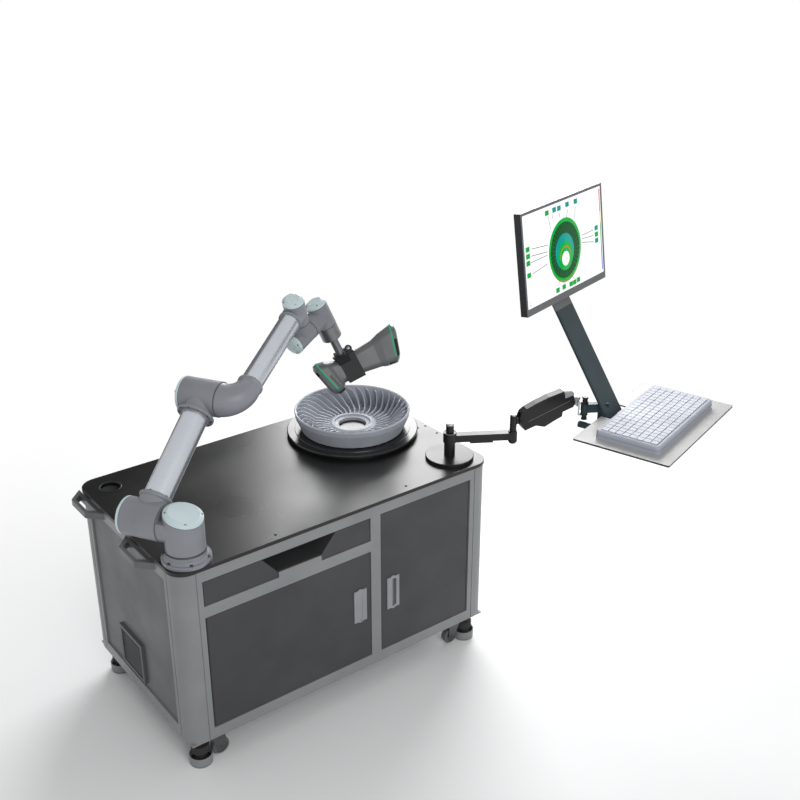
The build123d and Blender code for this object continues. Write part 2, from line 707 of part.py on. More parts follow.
def sample_wheel():
    """Bladed wheel: a bowl-shaped rim, a hub cone and curved blades joining the two."""
    floor, wall = SAMPLE_FLOOR, SAMPLE_WALL
    bowl = ((SAMPLE_HUB_R - 20, 0), (SAMPLE_FOOT_R - 6, 0), (SAMPLE_FOOT_R, 4),
            (SAMPLE_R - 3, SAMPLE_H * 0.72), (SAMPLE_R, SAMPLE_H - 4), (SAMPLE_R - 3, SAMPLE_H),
            (SAMPLE_R - wall, SAMPLE_H - 2), (SAMPLE_R - wall - 6, SAMPLE_H * 0.7),
            (SAMPLE_FOOT_R - wall, floor), (SAMPLE_HUB_R - 20, floor))
    hub = ((SAMPLE_BORE_R, 0), (SAMPLE_HUB_R, 0), (SAMPLE_HUB_R, floor),
           (SAMPLE_HUB_R - 6, SAMPLE_HUB_H - 5), (SAMPLE_HUB_R - 18, SAMPLE_HUB_H),
           (SAMPLE_BORE_R + 16, SAMPLE_HUB_H), (SAMPLE_BORE_R + 13, SAMPLE_HUB_H - 5),
           (SAMPLE_BORE_R, SAMPLE_HUB_H - 7))
    wheel = turned(Plane.XY, bowl) + turned(Plane.XY, hub)
    inner, outer = SAMPLE_HUB_R - 12, SAMPLE_R - wall / 2
    sweep = BLADE_SWEEP
    start = Vector(inner, 0)
    end = flat_direction(sweep) * outer
    middle = flat_direction(sweep * 0.25) * (inner + outer) / 2
    strip = blade_face(start, middle, end)
    rim = SAMPLE_R - wall
    envelope = turned(Plane.XY, ((inner - 6, 1), (rim + 3, 1), (rim + 3, SAMPLE_H - 5),
                                 (rim - 20, SAMPLE_H - 8), (rim - 42, SAMPLE_H * 0.66),
                                 (rim - 66, SAMPLE_H * 0.36), (SAMPLE_HUB_R + 8, SAMPLE_HUB_H),
                                 (inner - 6, SAMPLE_HUB_H - 6)))
    bowl_solid = turned(Plane.XY, ((0, 0), (SAMPLE_FOOT_R - 3, 0), (SAMPLE_R - 5, SAMPLE_H * 0.72),
                                   (SAMPLE_R - 5, SAMPLE_H), (0, SAMPLE_H)))
    blade = extrude(strip, SAMPLE_H) & envelope & bowl_solid
    blades = [Rot(Z=360 * i / BLADES) * blade for i in range(BLADES)]
    wheel = wheel + blades
    return Pos(*TABLE_CENTRE, PLATTER_TOP + TOUCH_GAP) * wheel


def blade_face(start, middle, end):
    """Thin curved strip about an arc through three points."""
    half = BLADE_T / 2
    inner = [Vector(p.X, p.Y - half) for p in (start, middle, end)]
    outer = [Vector(p.X, p.Y + half) for p in (start, middle, end)]
    a = ThreePointArc(*inner)
    b = ThreePointArc(*outer)
    return make_face([a, Line(inner[2], outer[2]), b, Line(outer[0], inner[0])])


# Robot arm: joint centres and axes from the base outwards
H = flat_direction(ROBOT_TURN)
E = flat_direction(ROBOT_TURN + 90)
BASE = Vector(*ROBOT_XY, TABLE_Z)
P2 = BASE + UP * SHOULDER_Z - H * SHOULDER_OFFSET
U = lean(E, UP, UPPER_ANGLE)
P3 = P2 + U * UPPER_L
P3B = P3 + H * ELBOW_OFFSET
W = lean(E, UP, FOREARM_ANGLE)
M = lean(UP, E, -FOREARM_ANGLE)
P4 = P3B + W * FOREARM_L
W5 = lean(W, H, WRIST_SWING)
H5 = lean(H, W, -WRIST_SWING)
P5 = P4 - M * WRIST_DROP
P6 = P5 + W5 * WRIST_REACH
T = lean(-M, H5, TOOL_SWING)
TOOL_END = P6 + T * (TOOL_REACH + ROD_L)


def cap(centre, axis, radius):
    """Pale joint cover: a short drum with a bevelled edge, standing on centre."""
    outline = ((0, 0), (radius, 0), (radius, CAP_H - CAP_BEVEL + 4), (radius - 2, CAP_H - 6),
               (radius - CAP_BEVEL, CAP_H), (0, CAP_H))
    return turned(Plane(origin=centre, z_dir=axis), outline)


def robot_base():
    plane = Plane(origin=BASE)
    outline = ((0, 0), (FLANGE_R, 0), (FLANGE_R, FLANGE_T - 2), (FLANGE_R - 2, FLANGE_T),
               (BASE_NECK_R + 6, FLANGE_T), (BASE_NECK_R, FLANGE_T + 8),
               (BASE_NECK_R, BASE_NECK_H), (0, BASE_NECK_H))
    base = turned(plane, outline)
    for i in range(6):
        place = BASE + flat_direction(60 * i + 15) * (FLANGE_R - 6)
        base -= rod(place, UP, 3.3, FLANGE_T)
    port = BASE + flat_direction(20) * (BASE_NECK_R - 4)
    return base + rod(port, UP, 14, BASE_NECK_H - 8)


def cap_plane():
    """Slanted plane on which the shoulder's top cap sits."""
    tilt = lean(UP, H, CAP_TILT)
    return Plane(origin=BASE + UP * SHOULDER_TOP, z_dir=tilt)


def robot_shoulder():
    start = BASE + UP * (BASE_NECK_H + TOUCH_GAP)
    post = rod(start, UP, SHOULDER_R, SHOULDER_TOP + 40 - BASE_NECK_H)
    slant = cap_plane()
    post -= Plane(origin=slant.origin, z_dir=slant.z_dir) * Box(
        300, 300, 100, align=(Align.CENTER, Align.CENTER, Align.MIN))
    arm = rod(BASE + UP * SHOULDER_Z, -H, SHOULDER_R - 4, SHOULDER_HALF)
    return post + (arm - rod(BASE + UP * (SHOULDER_TOP - 10), UP, 200, 100))


def robot_shoulder_cap():
    slant = cap_plane()
    return cap(slant.origin, slant.z_dir, SHOULDER_R)


def upper_arm_housings():
    """Lower joint drum with the tube socket, and the elbow drum with its socket."""
    start = P2 + H * (SHOULDER_OFFSET - SHOULDER_HALF - TOUCH_GAP)
    length = SHOULDER_OFFSET - TOUCH_GAP
    lower = rod(start, -H, SHOULDER_R - 2, length)
    lower += rod(P2, U, UPPER_R + 6, SHOULDER_R + 14)
    lower -= rod(P2 + U * (SHOULDER_R - 12), U, UPPER_R, 40)
    upper = rod(P3 + H * (ELBOW_OFFSET / 2 - TOUCH_GAP), -H, ELBOW_R,
                ELBOW_OFFSET / 2 + SHOULDER_HALF - TOUCH_GAP)
    upper += rod(P3, -U, UPPER_R + 5, ELBOW_R + 20)
    upper -= rod(P3 - U * (ELBOW_R - 12), -U, UPPER_R, 40)
    return group((lower, upper))


def upper_arm_tube():
    start = P2 + U * (SHOULDER_R - 12)
    length = UPPER_L - SHOULDER_R - ELBOW_R + 24
    return tube(start, U, UPPER_R, UPPER_R - TUBE_WALL, length)


def upper_arm_caps():
    low = cap(P2 - H * SHOULDER_HALF, -H, SHOULDER_R - 2)
    high = cap(P3 - H * SHOULDER_HALF, -H, ELBOW_R)
    return group((low, high))


def forearm_elbow():
    """Bent elbow that narrows from the joint drum to the socket of the forearm tube."""
    bend = ELBOW_OFFSET / 2
    start = P3 + H * bend
    end = P3B + W * bend
    path = TangentArc(start, end, tangent=H)
    wide = Plane(origin=start, z_dir=H) * Circle(ELBOW_R - 2)
    narrow = Plane(origin=end, z_dir=W) * Circle(FOREARM_R + 5)
    elbow = sweep([wide, narrow], path=path, multisection=True)
    elbow += rod(end, W, FOREARM_R + 5, SOCKET_L)
    return elbow - rod(end, W, FOREARM_R, SOCKET_L)


def forearm_end():
    """Last housing of the forearm: a drum across the tube with its socket."""
    drum = rod(P4 - M * (WRIST_JOINT - 4), M, WRIST_R, 2 * WRIST_JOINT - 4)
    socket = rod(P4, -W, FOREARM_R + 3, WRIST_R + 16)
    return drum + socket - rod(P4 - W * (WRIST_R - 6), -W, FOREARM_R, 40)


def forearm_housings():
    return group((forearm_elbow(), forearm_end()))


def forearm_tube():
    start = P3B + W * ELBOW_OFFSET / 2
    length = FOREARM_L - ELBOW_OFFSET / 2 - WRIST_R + 6
    return tube(start, W, FOREARM_R, FOREARM_R - TUBE_WALL, length)


def forearm_cap():
    return cap(P4 + M * WRIST_JOINT, M, WRIST_R)


def wrist_housing(joint, inward, centre, axis, reach):
    """Wrist block: a neck from one joint face, and a drum across it to the next joint face."""
    neck_start = centre - inward * (reach - WRIST_JOINT + 4 - TOUCH_GAP)
    neck_length = reach - WRIST_JOINT + 4 - TOUCH_GAP
    neck = rod(neck_start, inward, WRIST_R, neck_length)
    drum = rod(centre - axis * WRIST_JOINT, axis, WRIST_R, 2 * WRIST_JOINT - 4)
    return neck + drum


def wrist_1():
    return wrist_housing(P4, -M, P5, W5, WRIST_DROP)


def wrist_1_cap():
    return cap(P5 - W5 * WRIST_JOINT, -W5, WRIST_R)


def wrist_2():
    return wrist_housing(P5, W5, P6, T, WRIST_REACH)


def wrist_2_cap():
    return cap(P6 - T * WRIST_JOINT, -T, WRIST_R)


def tool_post():
    """Tool flange turned by the last joint, with the rod that carries the scanner clamp."""
    start = P6 + T * (WRIST_JOINT - 4 + TOUCH_GAP)
    flange = rod(start, T, WRIST_R - 1, TOOL_REACH - WRIST_JOINT + 4 - TOUCH_GAP)
    flange = chamfer(flange.edges().filter_by(GeomType.CIRCLE), 2)
    return flange + rod(P6 + T * TOOL_REACH, T, ROD_R, ROD_L)


# Scanner, built about its own long axis X with its optics looking down -Z
def scanner_plane():
    across = SCANNER_AXIS.normalized()
    up = (-T - across * (-T).dot(across)).normalized()
    side = up.cross(across)
    optic_up = lean(up, side, SCANNER_TILT)
    return Plane(origin=TOOL_END + T * SCANNER_DROP, x_dir=across, z_dir=optic_up)


def head_section(x, width, height, radius, tilt, z=0.0):
    """Rounded section of the scanner across its long axis."""
    plane = Plane(origin=(x, 0, z), x_dir=(0, 1, 0), z_dir=(1, 0, 0)).rotated((0, tilt, 0))
    return plane * RectangleRounded(width, height, radius)


def scanner_shell():
    """Grip between two camera heads that lean towards each other below."""
    near, far, half = NEAR_HEAD_X, FAR_HEAD_X, HEAD_T / 2
    flare = (far - near) / 2
    toe = TOE_IN
    sections = [
        head_section(near - half, HEAD_W - 22, HEAD_L - 42, 20, -toe, -3),
        head_section(near - half + 9, HEAD_W - 4, HEAD_L - 12, 28, -toe, -3),
        head_section(near - half + 24, HEAD_W, HEAD_L, 31, -toe, -4),
        head_section(near + half - 14, HEAD_W - 2, HEAD_L - 10, 30, -toe, -4),
        head_section(near + half - 3, HEAD_W - 12, HEAD_L - 36, 24, -toe / 2, -4),
        head_section(near + half + 10, GRIP_W, GRIP_L, 20, 0, -2),
        head_section(near + flare, GRIP_W, GRIP_L, 20, 0, -2),
        head_section(far - half - 26, GRIP_W + 2, GRIP_L + 16, 21, toe / 4, -5),
        head_section(far - half, HEAD_W - 8, HEAD_L - 18, 26, toe * 0.7, -4),
        head_section(far + half - 16, HEAD_W, HEAD_L, 30, toe * 1.2, -2),
        head_section(far + half - 6, HEAD_W - 6, HEAD_L - 14, 28, toe * 1.3, -2),
        head_section(far + half - 1, HEAD_W - 22, HEAD_L - 42, 20, toe * 1.3, -3),
    ]
    return loft(sections, ruled=True)


def scanner_body():
    shell = scanner_shell()
    shell -= button_well(0)
    return scanner_plane() * shell


def button_well(play):
    """Round well on top of the grip, and with play the button that slides in it."""
    top = GRIP_L / 2 - 2
    low = (Align.CENTER, Align.CENTER, Align.MIN)
    radius = BUTTON_R - play
    lift = BUTTON_TRAVEL if play else 0
    return Pos(BUTTON_X, 0, top - 7 + lift) * Cylinder(radius, 9 - lift, align=low)


def scanner_button():
    return scanner_plane() * button_well(TOUCH_GAP)


def scanner_clamp():
    """Split clamp round the grip, bolted to the end of the tool rod."""
    half_w = GRIP_W / 2 + CLAMP_WALL
    low = -2 - GRIP_L / 2 - CLAMP_WALL
    high = GRIP_L / 2 - 2 + CLAMP_WALL
    band = block(CLAMP_X, (-half_w, half_w), (low, high))
    plate = block(CLAMP_PLATE_X, (2 - half_w, half_w - 2), (high - CLAMP_WALL / 2, high + 5))
    band = scanner_plane() * (fillet(band.edges().filter_by(Axis.X), 5) + plate)
    side = scanner_plane().y_dir
    saddle = Plane(origin=TOOL_END - T * 4, x_dir=scanner_plane().x_dir, z_dir=T)
    block_up = saddle * Box(46, 44, 34, align=(Align.CENTER, Align.CENTER, Align.MIN))
    knob = rod(TOOL_END + T * 10 + side * 20, side, 4, 14)
    knob += rod(TOOL_END + T * 10 + side * 34, side, 11, 10)
    body = band + block_up + knob - scanner_plane() * scanner_shell()
    return body - rod(TOOL_END - T * 30, T, ROD_R, 30)


# Side arm
def arm_base():
    """Table disc, post and collar of the side arm."""
    centre = Vector(*POST_XY, TABLE_Z)
    disc_top = POST_DISC_T
    collar = LINK_Z - TABLE_Z - TOUCH_GAP
    top = POST_CAP_Z - TABLE_Z
    outline = ((0, 0), (POST_DISC_R, 0), (POST_DISC_R, disc_top - 2), (POST_DISC_R - 2, disc_top),
               (POST_R, disc_top), (POST_R, collar), (POST_STUB_R, collar), (POST_STUB_R, top),
               (0, top))
    return turned(Plane(origin=centre), outline)


LINK_DIR = flat_direction(LINK_TURN)
LINK_END = Vector(*POST_XY, 0) + LINK_DIR * LINK_L
SPRING_DIR = flat_direction(SPRING_TURN)
SPRING_UP = lean(SPRING_DIR, UP, SPRING_RISE)
SPRING_ROOT = LINK_END + UP * SPRING_Z + SPRING_DIR * ROOT_OUT
SPRING_SIDE = SPRING_DIR.cross(UP)
SPRING_TIP = SPRING_ROOT + SPRING_UP * SPRING_L
PIVOT = SPRING_TIP + SPRING_DIR * PIVOT_OUT + SPRING_SIDE * PIVOT_SIDE - UP * HEAD_DROP


def arm_link():
    """First link: a hub round the post, a box arm with a cable clip, and the elbow bush."""
    centre = Vector(*POST_XY, LINK_Z)
    hub = rod(centre, UP, POST_R + 4, LINK_H + 8)
    plane = Plane(origin=centre, x_dir=LINK_DIR, z_dir=UP)
    beam = plane * block((0, LINK_L), (-LINK_W / 2, LINK_W / 2), (2, LINK_H))
    beam = beam + plane * block((70, 150), (-LINK_W / 2 + 4, LINK_W / 2 - 4), (-6, 2))
    end = LINK_END + UP * (LINK_Z - 8)
    bush = rod(end, UP, LINK_W / 2 + 1, LINK_H + 12)
    link = hub + beam + bush
    link -= rod(centre, UP, POST_STUB_R + RUN_FIT, LINK_H + 8)
    return link - rod(end, UP, 8 + RUN_FIT, LINK_H + 12)


def arm_elbow():
    """Upright knuckle that turns in the link's bush and forks round the spring arm."""
    low = LINK_Z - 8
    pin = rod(LINK_END + UP * (low - 6), UP, 8, LINK_H + 20)
    washer = rod(LINK_END + UP * (low - 6), UP, 12, 6 - TOUCH_GAP)
    start = LINK_Z + LINK_H + 4 + TOUCH_GAP
    body = rod(LINK_END + UP * start, UP, KNUCKLE_R, KNUCKLE_TOP - start)
    plane = Plane(origin=LINK_END + UP * SPRING_Z, x_dir=SPRING_DIR, z_dir=UP)
    tongue = plane * block((0, ROOT_OUT + 11), (-7, 7), (-11, 11))
    tongue -= rod(SPRING_ROOT - SPRING_SIDE * 10, SPRING_SIDE, 5 + RUN_FIT, 20)
    return pin + washer + body + tongue


def spring_outline():
    """Side outline of the spring arm's cover: a bowed back and a stepped belly."""
    tip = SPRING_L
    back = ((-10, 14), (4, 33), (22, 40), (63, 47), (112, 52), (tip - 28, 52), (tip - 4, 44),
            (tip + 6, 30))
    belly = ((tip + 6, -12), (tip - 4, -22), (tip - 46, -25), (tip - 51, -41), (113, -47), (77, -55),
             (45, -37), (2, -40), (-10, -14))
    return make_face(Polyline(*back, *belly, close=True))


def spring_arm():
    """Sprung link in its cover, with forked ends on cross pins."""
    plane = Plane(origin=SPRING_ROOT, x_dir=SPRING_UP, z_dir=SPRING_SIDE)
    body = plane * extrude(spring_outline(), SPRING_W / 2, both=True)
    body = chamfer(body.faces().filter_by(lambda f: abs(f.normal_at().dot(SPRING_SIDE)) > 0.9).edges(), 3)
    body -= Plane(origin=SPRING_ROOT, x_dir=SPRING_DIR, z_dir=SPRING_SIDE) * Box(48, 56, 15)
    body -= Plane(origin=SPRING_TIP, x_dir=SPRING_DIR, z_dir=SPRING_SIDE) * Box(46, 56, 15)
    for centre in (SPRING_ROOT, SPRING_TIP):
        body += rod(centre - SPRING_SIDE * (SPRING_W / 2 + 1), SPRING_SIDE, 5, SPRING_W + 2)
    return body


def arm_head():
    """Level end piece: a tongue on the arm's front pin, and a fork with the upright pivot pin."""
    plane = Plane(origin=SPRING_TIP, x_dir=SPRING_DIR, z_dir=UP)
    tongue = plane * block((-9, 28), (-7, 7), (-12, 12))
    tongue -= rod(SPRING_TIP - SPRING_SIDE * 10, SPRING_SIDE, 5 + RUN_FIT, 20)
    shoulder = plane * block((18, 28), (-12, 7), (-24, 12))
    way = SPRING_TIP - PIVOT
    back = Vector(way.X, way.Y, 0).normalized()
    frame = Plane(origin=PIVOT, x_dir=back, z_dir=UP)
    half = FORK_H / 2
    bracket = frame * block((FORK_BACK - 3, FORK_BACK + 3), (-13, 13), (-half, half))
    for low in (-half, half - FORK_PLATE):
        bracket += frame * block((0, FORK_BACK), (-11, 11), (low, low + FORK_PLATE))
        bracket += rod(PIVOT + UP * low, UP, PIVOT_R, FORK_PLATE)
    pin = rod(PIVOT - UP * PIVOT_H / 2, UP, PIVOT_R - 3, PIVOT_H)
    top = rod(PIVOT + UP * (PIVOT_H / 2 - 6), UP, PIVOT_R - 1, 6)
    end = rod(PIVOT - UP * (PIVOT_H / 2), UP, PIVOT_R - 1, 6)
    return tongue + shoulder + bracket + pin + top + end


# Console
CONSOLE_C = flat_direction(CONSOLE_TURN)
CONSOLE_N = flat_direction(CONSOLE_TURN - 90)
FOOT = Vector(*CONSOLE_FOOT)
COLUMN_UP = lean(UP, -CONSOLE_N, COLUMN_LEAN)
COLUMN_TOP = FOOT + COLUMN_UP * COLUMN_L
TRAY_HINGE = FOOT + CONSOLE_N * 18 - UP * 12


NECK_H = 70.0
NECK_T = 12.0
TILT = COLUMN_TOP - CONSOLE_N * (COLUMN_T + NECK_T) / 2 + UP * (NECK_H - 10)
MONITOR_DIR = flat_direction(MONITOR_TURN)


def column_neck():
    """Plate on the column's back that carries the tilt rod."""
    top = Plane(origin=COLUMN_TOP, x_dir=CONSOLE_C, z_dir=UP)
    half_w = COLUMN_W / 2
    back = (COLUMN_T / 2, COLUMN_T / 2 + NECK_T)
    neck = top * block((-half_w, half_w), (-COLUMN_T / 2, back[1]), (-4, 10))
    neck = neck + top * block((-half_w, half_w), back, (0, NECK_H / 2))
    neck = neck + top * block((-30, 30), back, (0, NECK_H))
    neck = neck + rod(TILT - MONITOR_DIR * 29, MONITOR_DIR, 9, 58)
    return neck + rod(TILT - MONITOR_DIR * 50, MONITOR_DIR, TILT_PIN_R, 100)


def pivot_ear():
    """Ear round the pivot pin, between the fork plates, with its plate to the column."""
    way = FOOT - PIVOT
    flat = Vector(way.X, way.Y, 0)
    plane = Plane(origin=PIVOT, x_dir=flat.normalized(), z_dir=UP)
    half = EAR_H / 2
    ear = plane * block((0, flat.length - EAR_SHORT), (-10, 10), (-half, half))
    ear += rod(PIVOT - UP * half, UP, PIVOT_R + 2, EAR_H)
    return ear - rod(PIVOT - UP * half, UP, PIVOT_R - 3 + RUN_FIT, EAR_H)


def foot_wedge():
    """Wedge behind the column's foot that the pivot ear and the tilt lever come out of."""
    slope = math.tan(math.radians(COLUMN_LEAN))
    low, high = WEDGE_Z
    outline = Polyline((low * slope + 4, low), (WEDGE_BACK, low), (WEDGE_BACK, high),
                       (high * slope + 4, high), close=True)
    side = Plane(origin=FOOT - CONSOLE_C * WEDGE_HALF, x_dir=-CONSOLE_N, z_dir=CONSOLE_C)
    return extrude(side * make_face(outline), 2 * WEDGE_HALF)


def tilt_lever():
    """Rod out of the wedge's left side with the round lever handle on its end."""
    root = FOOT - CONSOLE_N * 34 - UP * 33
    arm = rod(root - CONSOLE_C * LEVER_OUT, CONSOLE_C, 5, LEVER_OUT - WEDGE_HALF + 6)
    handle = rod(root - CONSOLE_C * LEVER_OUT - CONSOLE_N * 54, CONSOLE_N, 12, 62)
    return arm + handle


def column():
    """Leaning column plate, its foot bracket with the pivot ear, and the tray hinge rod."""
    plane = Plane(origin=FOOT, x_dir=CONSOLE_C, z_dir=COLUMN_UP)
    plate = plane * block((-COLUMN_W / 2, COLUMN_W / 2), (-COLUMN_T / 2, COLUMN_T / 2), (-8, COLUMN_L))
    plate = fillet(plate.edges().filter_by(lambda e: abs(e.tangent_at(0.5).dot(COLUMN_UP)) > 0.9), 4)
    hinge = rod(TRAY_HINGE - CONSOLE_C * 70, CONSOLE_C, 6, 140)
    link = Plane(origin=FOOT, x_dir=CONSOLE_C, z_dir=UP) * block((-14, 14), (-19, 4), (-21, -3))
    foot = pivot_ear() + foot_wedge() + tilt_lever() + hinge + link
    return plate + column_neck() + foot


def tray_plane():
    return Plane(origin=Vector(*TRAY_C), x_dir=CONSOLE_C, z_dir=UP)


def tray():
    """Thin keyboard tray with rounded corners and two hinge lugs under its rear edge."""
    plane = tray_plane()
    sheet = plane * Pos(0, 0, -TRAY_T) * extrude(RectangleRounded(TRAY_W, TRAY_D, 6), TRAY_T)
    lugs = Part()
    for offset_c in (-52, 52):
        centre = TRAY_HINGE + CONSOLE_C * (offset_c - 8)
        lug = rod(centre, CONSOLE_C, 10, 16)
        lug += Plane(origin=centre + CONSOLE_C * 8, x_dir=CONSOLE_C, z_dir=UP) * block(
            (-8, 8), (-60, 0), (-8, TRAY_C[2] - TRAY_T - TRAY_HINGE.Z))
        lugs += lug
    back = (FOOT - plane.origin).dot(-CONSOLE_N)
    notch = plane * block((-COLUMN_W / 2 - 8, COLUMN_W / 2 + 8), (back - 24, TRAY_D), (-TRAY_T, 0))
    middle = CONSOLE_C * (FOOT - plane.origin).dot(CONSOLE_C)
    body = sheet - Pos(middle) * notch + lugs
    return body - rod(TRAY_HINGE - CONSOLE_C * 80, CONSOLE_C, 6 + RUN_FIT, 160)


def keyboard():
    """Keyboard body with its rounded front and the well that the keys stand in."""
    plane = Plane(origin=(*KEYBOARD_C, TRAY_C[2]), x_dir=CONSOLE_C, z_dir=UP)
    body = extrude(RectangleRounded(KEYBOARD_W, KEYBOARD_D, 16), KEYBOARD_H)
    body = fillet(body.faces().sort_by(Axis.Z)[-1].edges(), 7)
    well = Pos(0, 0, KEYBOARD_H - KEY_T - KEY_TRAVEL) * extrude(
        Rectangle(KEYBOARD_W - 26, KEYBOARD_D - 30), KEY_T + KEY_TRAVEL)
    return plane * (body - well)


def keyboard_keys():
    """Key caps in rows on one carrier plate."""
    plane = Plane(origin=(*KEYBOARD_C, TRAY_C[2] + KEYBOARD_H), x_dir=CONSOLE_C, z_dir=UP)
    width = KEYBOARD_W - 26 - 2 * TOUCH_GAP
    depth = KEYBOARD_D - 30 - 2 * TOUCH_GAP
    carrier = block((-width / 2, width / 2), (-depth / 2, depth / 2), (-KEY_T, 1 - KEY_T))
    pitch_x = width / KEY_COLUMNS
    pitch_y = depth / KEY_ROWS
    caps = []
    for i in range(KEY_COLUMNS):
        for j in range(KEY_ROWS):
            x = -width / 2 + (i + 0.5) * pitch_x
            y = -depth / 2 + (j + 0.5) * pitch_y
            cap_box = Box(pitch_x - KEY_GAP, pitch_y - KEY_GAP, KEY_T + 2)
            caps.append(Pos(x, y, 1.5 - KEY_T / 2) * cap_box)
    return plane * (carrier + caps)


def monitor_plane():
    back = lean(flat_direction(MONITOR_TURN + 90), -UP, MONITOR_TILT)
    return Plane(origin=Vector(*MONITOR_C), x_dir=MONITOR_DIR, z_dir=-back)


def monitor_case():
    """Monitor case with its bezel, a raised back and the tilt lugs."""
    plane = monitor_plane()
    slab = block((-MONITOR_W / 2, MONITOR_W / 2), (-MONITOR_H / 2, MONITOR_H / 2),
                 (-MONITOR_T / 2, MONITOR_T / 2))
    slab = fillet(slab.edges().filter_by(Axis.Z), 4)
    low = -MONITOR_H / 2 + BEZEL_LOW
    screen = block((-MONITOR_W / 2 + BEZEL, MONITOR_W / 2 - BEZEL), (low, MONITOR_H / 2 - BEZEL),
                   (MONITOR_T / 2 - 2.5, MONITOR_T / 2))
    rear = Pos(0, 0, -MONITOR_T / 2 - 9) * extrude(RectangleRounded(320, 200, 20), 10)
    case = plane * (slab - screen + rear)
    return case + tilt_lugs()


def tilt_lugs():
    """Two lugs from the back of the case to the tilt rod."""
    lugs = Part()
    plane = monitor_plane()
    local = plane.to_local_coords(TILT)
    for side in (-1, 1):
        lug = block((side * 42 - 7, side * 42 + 7), (local.Y - 12, local.Y + 12),
                    (local.Z, -MONITOR_T / 2))
        lugs += plane * lug
        lugs += rod(TILT + MONITOR_DIR * (side * 42 - 7), MONITOR_DIR, 12, 14)
    return lugs - rod(TILT - MONITOR_DIR * 60, MONITOR_DIR, TILT_PIN_R + RUN_FIT, 120)


def monitor_screen():
    low = -MONITOR_H / 2 + BEZEL_LOW
    plane = monitor_plane()
    glass = block((-MONITOR_W / 2 + BEZEL, MONITOR_W / 2 - BEZEL), (low, MONITOR_H / 2 - BEZEL),
                  (MONITOR_T / 2 - 2.5, MONITOR_T / 2 - 2.5 + GLASS_T))
    return plane * glass


def build_nodes():
    nodes = {
        "frame_posts": frame_posts(),
        "frame_rails": frame_rails(),
        "tabletop": tabletop(),
        "cabinet_panels": cabinet_panels(),
        "side_handles": side_handles(),
        "vent_grille": vent_grille(),
        "fan_rotor": fan_rotor(),
        "left_door": left_door(),
        "left_door_pull": door_pull(LEFT_PULL_X),
        "right_door": right_door(),
        "right_door_pull": door_pull(RIGHT_PULL_X),
        "drawer_front": drawer_front(),
        "drawer_box": drawer_box(),
        "drawer_runners": drawer_runners(),
        "robot_controller": robot_controller(),
        "computer": computer(),
        "turntable_base": turntable_base(),
        "turntable_platter": turntable_platter(),
        "sample_wheel": sample_wheel(),
        "robot_base": robot_base(),
        "robot_shoulder": robot_shoulder(),
        "robot_shoulder_cap": robot_shoulder_cap(),
        "upper_arm_housings": upper_arm_housings(),
        "upper_arm_tube": upper_arm_tube(),
        "upper_arm_caps": upper_arm_caps(),
        "forearm_housings": forearm_housings(),
        "forearm_tube": forearm_tube(),
        "forearm_cap": forearm_cap(),
        "wrist_1": wrist_1(),
        "wrist_1_cap": wrist_1_cap(),
        "wrist_2": wrist_2(),
        "wrist_2_cap": wrist_2_cap(),
        "tool_post": tool_post(),
        "scanner_clamp": scanner_clamp(),
        "scanner_body": scanner_body(),
        "scanner_button": scanner_button(),
        "arm_base": arm_base(),
        "arm_link": arm_link(),
        "arm_elbow": arm_elbow(),
        "spring_arm": spring_arm(),
        "arm_head": arm_head(),
        "column": column(),
        "tray": tray(),
        "keyboard": keyboard(),
        "keyboard_keys": keyboard_keys(),
        "monitor_case": monitor_case(),
        "monitor_screen": monitor_screen(),
    }
    for name, (x, y), handed in caster_places():
        turn = Pos(x, y, 0) * Rot(Z=0 if handed > 0 else 180)
        nodes["caster_yoke_" + name] = turn * caster_yoke()
        nodes["caster_wheel_" + name] = turn * caster_wheel()
        nodes["caster_foot_" + name] = turn * caster_foot()
    return nodes


def plan_centre(nodes):
    """Middle of the whole station seen from above."""
    boxes = [shape.bounding_box() for shape in nodes.values()]
    x = (min(b.min.X for b in boxes) + max(b.max.X for b in boxes)) / 2
    y = (min(b.min.Y for b in boxes) + max(b.max.Y for b in boxes)) / 2
    return Vector(x, y, 0)


NODES = build_nodes()
CENTRE = plan_centre(NODES)
os.makedirs("parts", exist_ok=True)
for node_name, node_shape in NODES.items():
    solids = [Pos(-CENTRE) * solid for solid in node_shape.solids()]
    export_step(solids[0] if len(solids) == 1 else Compound(solids), "parts/" + node_name + ".step")
print(len(NODES), "nodes, centre", CENTRE)
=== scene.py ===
"""Looks of a mobile scanning station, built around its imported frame.

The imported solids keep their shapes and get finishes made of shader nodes. What a maker adds on
top of them (screws, seals, lamps, windows, trim, the picture on the screen) is built here, and so
is the studio. Shapes are drawn in millimetres in a local frame, and placed in metres.
"""
from __future__ import annotations

import json
import logging
import math
from dataclasses import dataclass, field
from enum import Enum

import bmesh
import bpy
from mathutils import Matrix, Vector


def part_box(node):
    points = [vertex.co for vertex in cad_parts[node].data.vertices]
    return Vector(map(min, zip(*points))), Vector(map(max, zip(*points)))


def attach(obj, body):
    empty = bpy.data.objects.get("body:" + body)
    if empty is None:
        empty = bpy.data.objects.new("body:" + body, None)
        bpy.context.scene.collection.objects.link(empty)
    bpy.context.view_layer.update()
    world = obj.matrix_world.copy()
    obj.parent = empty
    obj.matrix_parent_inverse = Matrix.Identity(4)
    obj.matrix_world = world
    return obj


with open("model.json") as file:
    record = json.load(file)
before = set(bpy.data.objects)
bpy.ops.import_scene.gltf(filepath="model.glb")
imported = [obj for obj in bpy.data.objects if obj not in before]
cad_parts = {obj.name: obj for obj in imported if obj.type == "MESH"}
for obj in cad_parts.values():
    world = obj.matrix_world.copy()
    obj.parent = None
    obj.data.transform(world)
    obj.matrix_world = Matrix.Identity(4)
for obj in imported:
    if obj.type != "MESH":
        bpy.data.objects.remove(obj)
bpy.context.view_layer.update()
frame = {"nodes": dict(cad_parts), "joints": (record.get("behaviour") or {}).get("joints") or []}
LOG = logging.getLogger("station")
